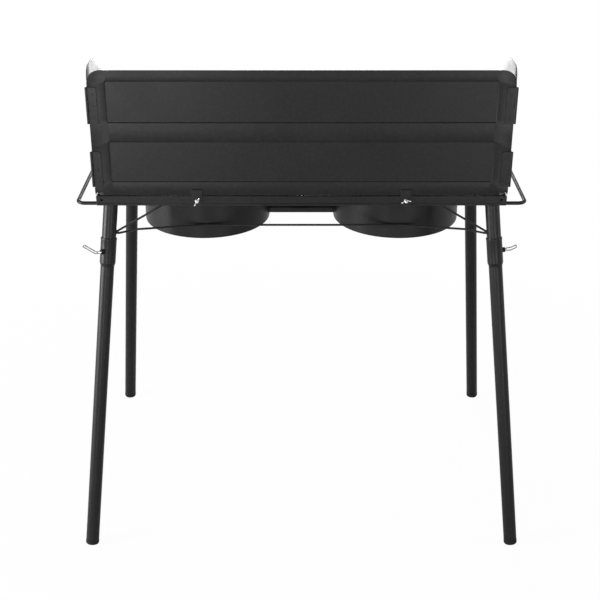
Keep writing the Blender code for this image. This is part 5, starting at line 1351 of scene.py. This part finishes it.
rubber = moulded_rubber("moulded_rubber")
FOOT_RADIUS = 0.0142
FOOT_EDGE = 0.004
PLUG_RADIUS = 0.0120
PLUG_LENGTH = 0.018
for corner_name in CORNERS:
    base = -LEG_LENGTH
    head = base + FOOT_HEAD
    profile = [(0, head + PLUG_LENGTH), (PLUG_RADIUS - 0.0008, head + PLUG_LENGTH),
               (PLUG_RADIUS, head + PLUG_LENGTH - 0.0012), (PLUG_RADIUS, head - 0.0001),
               (FOOT_RADIUS - 0.0004, head - 0.0001), (FOOT_RADIUS, head - 0.0005),
               (FOOT_RADIUS, head - 0.0020), (FOOT_RADIUS - 0.0004, head - 0.0024),
               (FOOT_RADIUS - 0.0004, head - 0.0032), (FOOT_RADIUS, head - 0.0036)]
    profile += arc_points(FOOT_RADIUS - FOOT_EDGE, base + FOOT_EDGE, FOOT_EDGE, 0, -90, 5)
    profile.append((0, base))
    shape = bmesh.new()
    add_turned(shape, profile, leg_place(corner_name), steps=48)
    bmesh.ops.bisect_plane(shape, geom=shape.verts[:] + shape.edges[:] + shape.faces[:],
                           plane_co=(0, 0, 0), plane_no=(0, 0, -1), clear_outer=True)
    bmesh.ops.holes_fill(shape, edges=[edge for edge in shape.edges if edge.is_boundary])
    bmesh.ops.recalc_face_normals(shape, faces=shape.faces)
    foot = to_mesh(f"rubber_foot_cap_{corner_name}", shape, rubber)
    fit(foot, f"leg_{corner_name}", "rubber", f"foot_{corner_name}")

# Thumb screws. Zinc-plated screws with a round collar and a lever bent from wire to a closed loop; each
# turns in the weld nut of its leg and presses on the stub.
# The lever wire: the same zinc plating in a lowered tone, painted shade.
shaded_wire_zinc = zinc_plate_painted_tone("zinc_wire_painted_shade", "#6f7276", "#8d9093")
LEVER_WIRE = 0.0011
LEVER_HALF = 0.0027
LEVER_STEM = 0.0115
LEVER_REACH = 0.0295
LEVER_SLOPE = math.radians(48)
for corner_name in CORNERS:
    base = SOCKET_RADIUS + WELD_NUT + FIT_GAP
    at_screw = (screw_side(corner_name) @ pointing("+x", (base, 0, -SCREW_DROP))
                @ Matrix.Rotation(math.radians(SCREW_TURNS[corner_name][1]), 4, "Z"))
    tip = -(base - STUB_RADIUS - FIT_GAP)
    shape = bmesh.new()
    add_turned(shape, [(0, tip), (0.0020, tip), (0.0026, tip + 0.0006), (0.0026, -0.0004), (0.0030, 0),
                       (0.0035, 0.0005), (0.0036, 0.0016), (0.0034, 0.0028), (0.0026, 0.0035), (0, 0.0037)],
               at_screw, steps=32)
    body = to_mesh("screw_body", shape, zinc)
    start = 0.0035 - LEVER_WIRE * 1.5
    bend = start + LEVER_STEM
    out = LEVER_REACH * math.sin(LEVER_SLOPE)
    rise = bend + LEVER_REACH * math.cos(LEVER_SLOPE)
    half = [(0, -LEVER_HALF, start), (0, -LEVER_HALF, bend), (out, -LEVER_HALF, rise)]
    points = [at_screw @ Vector(point) for point in half + [(x, -y, z) for x, y, z in half[::-1]]]
    bends = [LEVER_HALF * 0.6, 0.006, LEVER_HALF * 0.85]
    lever = bent_rod("wire_lever", points, bends + bends[::-1], LEVER_WIRE, shaded_wire_zinc, closed=True, sides=16)
    shape = bmesh.new()
    take_in(shape, body)
    take_in(shape, lever, slot=1)
    screw = to_mesh(f"plated_thumb_screw_{corner_name}", shape, zinc, shaded_wire_zinc)
    fit(screw, f"thumb_screw_{corner_name}", "zinc", f"thumb_screw_{corner_name}")

# Studio. A white floor that runs out of sight, soft boxes left, right and above, a strip box on each side of
# the camera and a box in front of the stove. The camera is behind the stove and a little above it.


def white_floor(name):
    """Seamless white paper with a fibre of about 3 mm: white to the eye, with the lit grey paper and the
    stove's shadow showing faintly within a metre of the stove. In reflections the white glow fades out from 3
    m in to
    1 m from the stove, a ring of painted shade round it, so that nearer in the reflections show the grey
    paper as the lamps light it."""
    material, tree, shader, place = new_finish(name)
    fibre = add(tree, "ShaderNodeTexNoise", {"Vector": place, "Scale": 1 / 0.003, "Detail": 3.0})
    bump = add(tree, "ShaderNodeBump", {"Height": fibre.outputs["Fac"], "Strength": 0.03, "Distance": 0.0005})
    plug(tree, shader, {"Base Color": linear("#bdbdbc"), "Roughness": 0.9, "Normal": bump.outputs["Normal"]})
    path = add(tree, "ShaderNodeLightPath").outputs
    reach = add(tree, "ShaderNodeVectorMath", {0: place}, operation="LENGTH").outputs["Value"]
    seen = add(tree, "ShaderNodeMapRange", {"Value": reach, "From Min": 0.6, "From Max": 1.5,
                                           "To Min": 0.965, "To Max": 1.0})
    # Painted shade in reflections: the glow's share falls from 1.0 at 3 m to 0.08 at 1 m from the stove.
    mirrored = add(tree, "ShaderNodeMapRange", {"Value": reach, "From Min": 1.0, "From Max": 3.0,
                                               "To Min": 0.08, "To Max": 1.0})
    direct = add(tree, "ShaderNodeMath", {0: path["Is Camera Ray"], 1: seen.outputs["Result"]},
                 operation="MULTIPLY")
    bounced = add(tree, "ShaderNodeMath", {0: path["Is Glossy Ray"], 1: path["Is Transmission Ray"]},
                  operation="MAXIMUM")
    shaded = add(tree, "ShaderNodeMath", {0: bounced.outputs["Value"], 1: mirrored.outputs["Result"]},
                 operation="MULTIPLY")
    share = add(tree, "ShaderNodeMath", {0: direct.outputs["Value"], 1: shaded.outputs["Value"]},
                operation="MAXIMUM")
    glow = add(tree, "ShaderNodeEmission", {"Color": (1, 1, 1, 1), "Strength": 1.0})
    mix = add(tree, "ShaderNodeMixShader", {0: share.outputs["Value"], 1: shader.outputs["BSDF"],
                                           2: glow.outputs["Emission"]})
    plug(tree, tree.nodes["Material Output"], {"Surface": mix.outputs["Shader"]})
    return material


shape = bmesh.new()
bmesh.ops.create_circle(shape, cap_ends=True, segments=96, radius=3.0,
                        matrix=Matrix.Translation((0, 0, -0.0002)))
floor = to_mesh("studio_floor", shape, white_floor("white_paper"))

world = bpy.data.worlds.new("studio")
bpy.context.scene.world = world
world.use_nodes = True
tree = world.node_tree
path = add(tree, "ShaderNodeLightPath").outputs
facing = add(tree, "ShaderNodeTexCoord").outputs["Generated"]
height = add(tree, "ShaderNodeSeparateXYZ", {"Vector": facing}).outputs["Z"]
backdrop = add(tree, "ShaderNodeMapRange", {"Value": height, "From Min": 0.05, "From Max": 0.40,
                                           "To Min": 1.0, "To Max": 0.25})
bounced = add(tree, "ShaderNodeMath", {0: path["Is Glossy Ray"], 1: path["Is Transmission Ray"]},
              operation="MAXIMUM")
mirrored = add(tree, "ShaderNodeMapRange", {"Value": bounced.outputs["Value"], "To Min": 0.28,
                                           "To Max": backdrop.outputs["Result"]})
level = add(tree, "ShaderNodeMapRange", {"Value": path["Is Camera Ray"], "To Min": mirrored.outputs["Result"],
                                        "To Max": 1.0})
plug(tree, tree.nodes["Background"], {"Color": (1, 1, 1, 1), "Strength": level.outputs["Result"]})


def soft_lamp(name, place, target, width, height, power):
    """A large soft box aimed at a point."""
    lamp = bpy.data.lights.new(name, "AREA")
    lamp.shape = "RECTANGLE"
    lamp.size = width
    lamp.size_y = height
    lamp.energy = power
    item = bpy.data.objects.new(name, lamp)
    bpy.context.scene.collection.objects.link(item)
    item.location = place
    item.rotation_euler = (Vector(target) - Vector(place)).to_track_quat("-Z", "Y").to_euler()


soft_lamp("left_soft_box", (-2.7, -0.9, 1.1), (0, 0, 0.6), 1.4, 2.2, 150)
soft_lamp("right_soft_box", (2.8, -0.6, 1.6), (0, 0, 0.7), 1.2, 2.0, 28)
soft_lamp("left_strip_box", (-0.85, -2.65, 0.85), (-0.3, 0, 0.85), 0.45, 1.6, 22)
soft_lamp("right_strip_box", (1.15, -2.65, 0.85), (0.3, 0, 0.85), 0.45, 1.6, 20)
soft_lamp("front_box", (0, 2.8, 1.1), (0, 0, 0.8), 0.76, 1.8, 40)
soft_lamp("top_soft_box", (0, 0.6, 3.2), (0, 0, 0.7), 2.2, 2.2, 30)

camera = bpy.data.objects.new("camera", bpy.data.cameras.new("camera"))
bpy.context.scene.collection.objects.link(camera)
camera.data.sensor_width = 36
camera.data.lens = 69.3
camera.data.clip_end = 60
camera.location = (-0.003, -2.351, 1.589)
camera.rotation_euler = (math.radians(63.9), 0, 0)
bpy.context.scene.camera = camera
bpy.context.scene.view_settings.view_transform = "Standard"
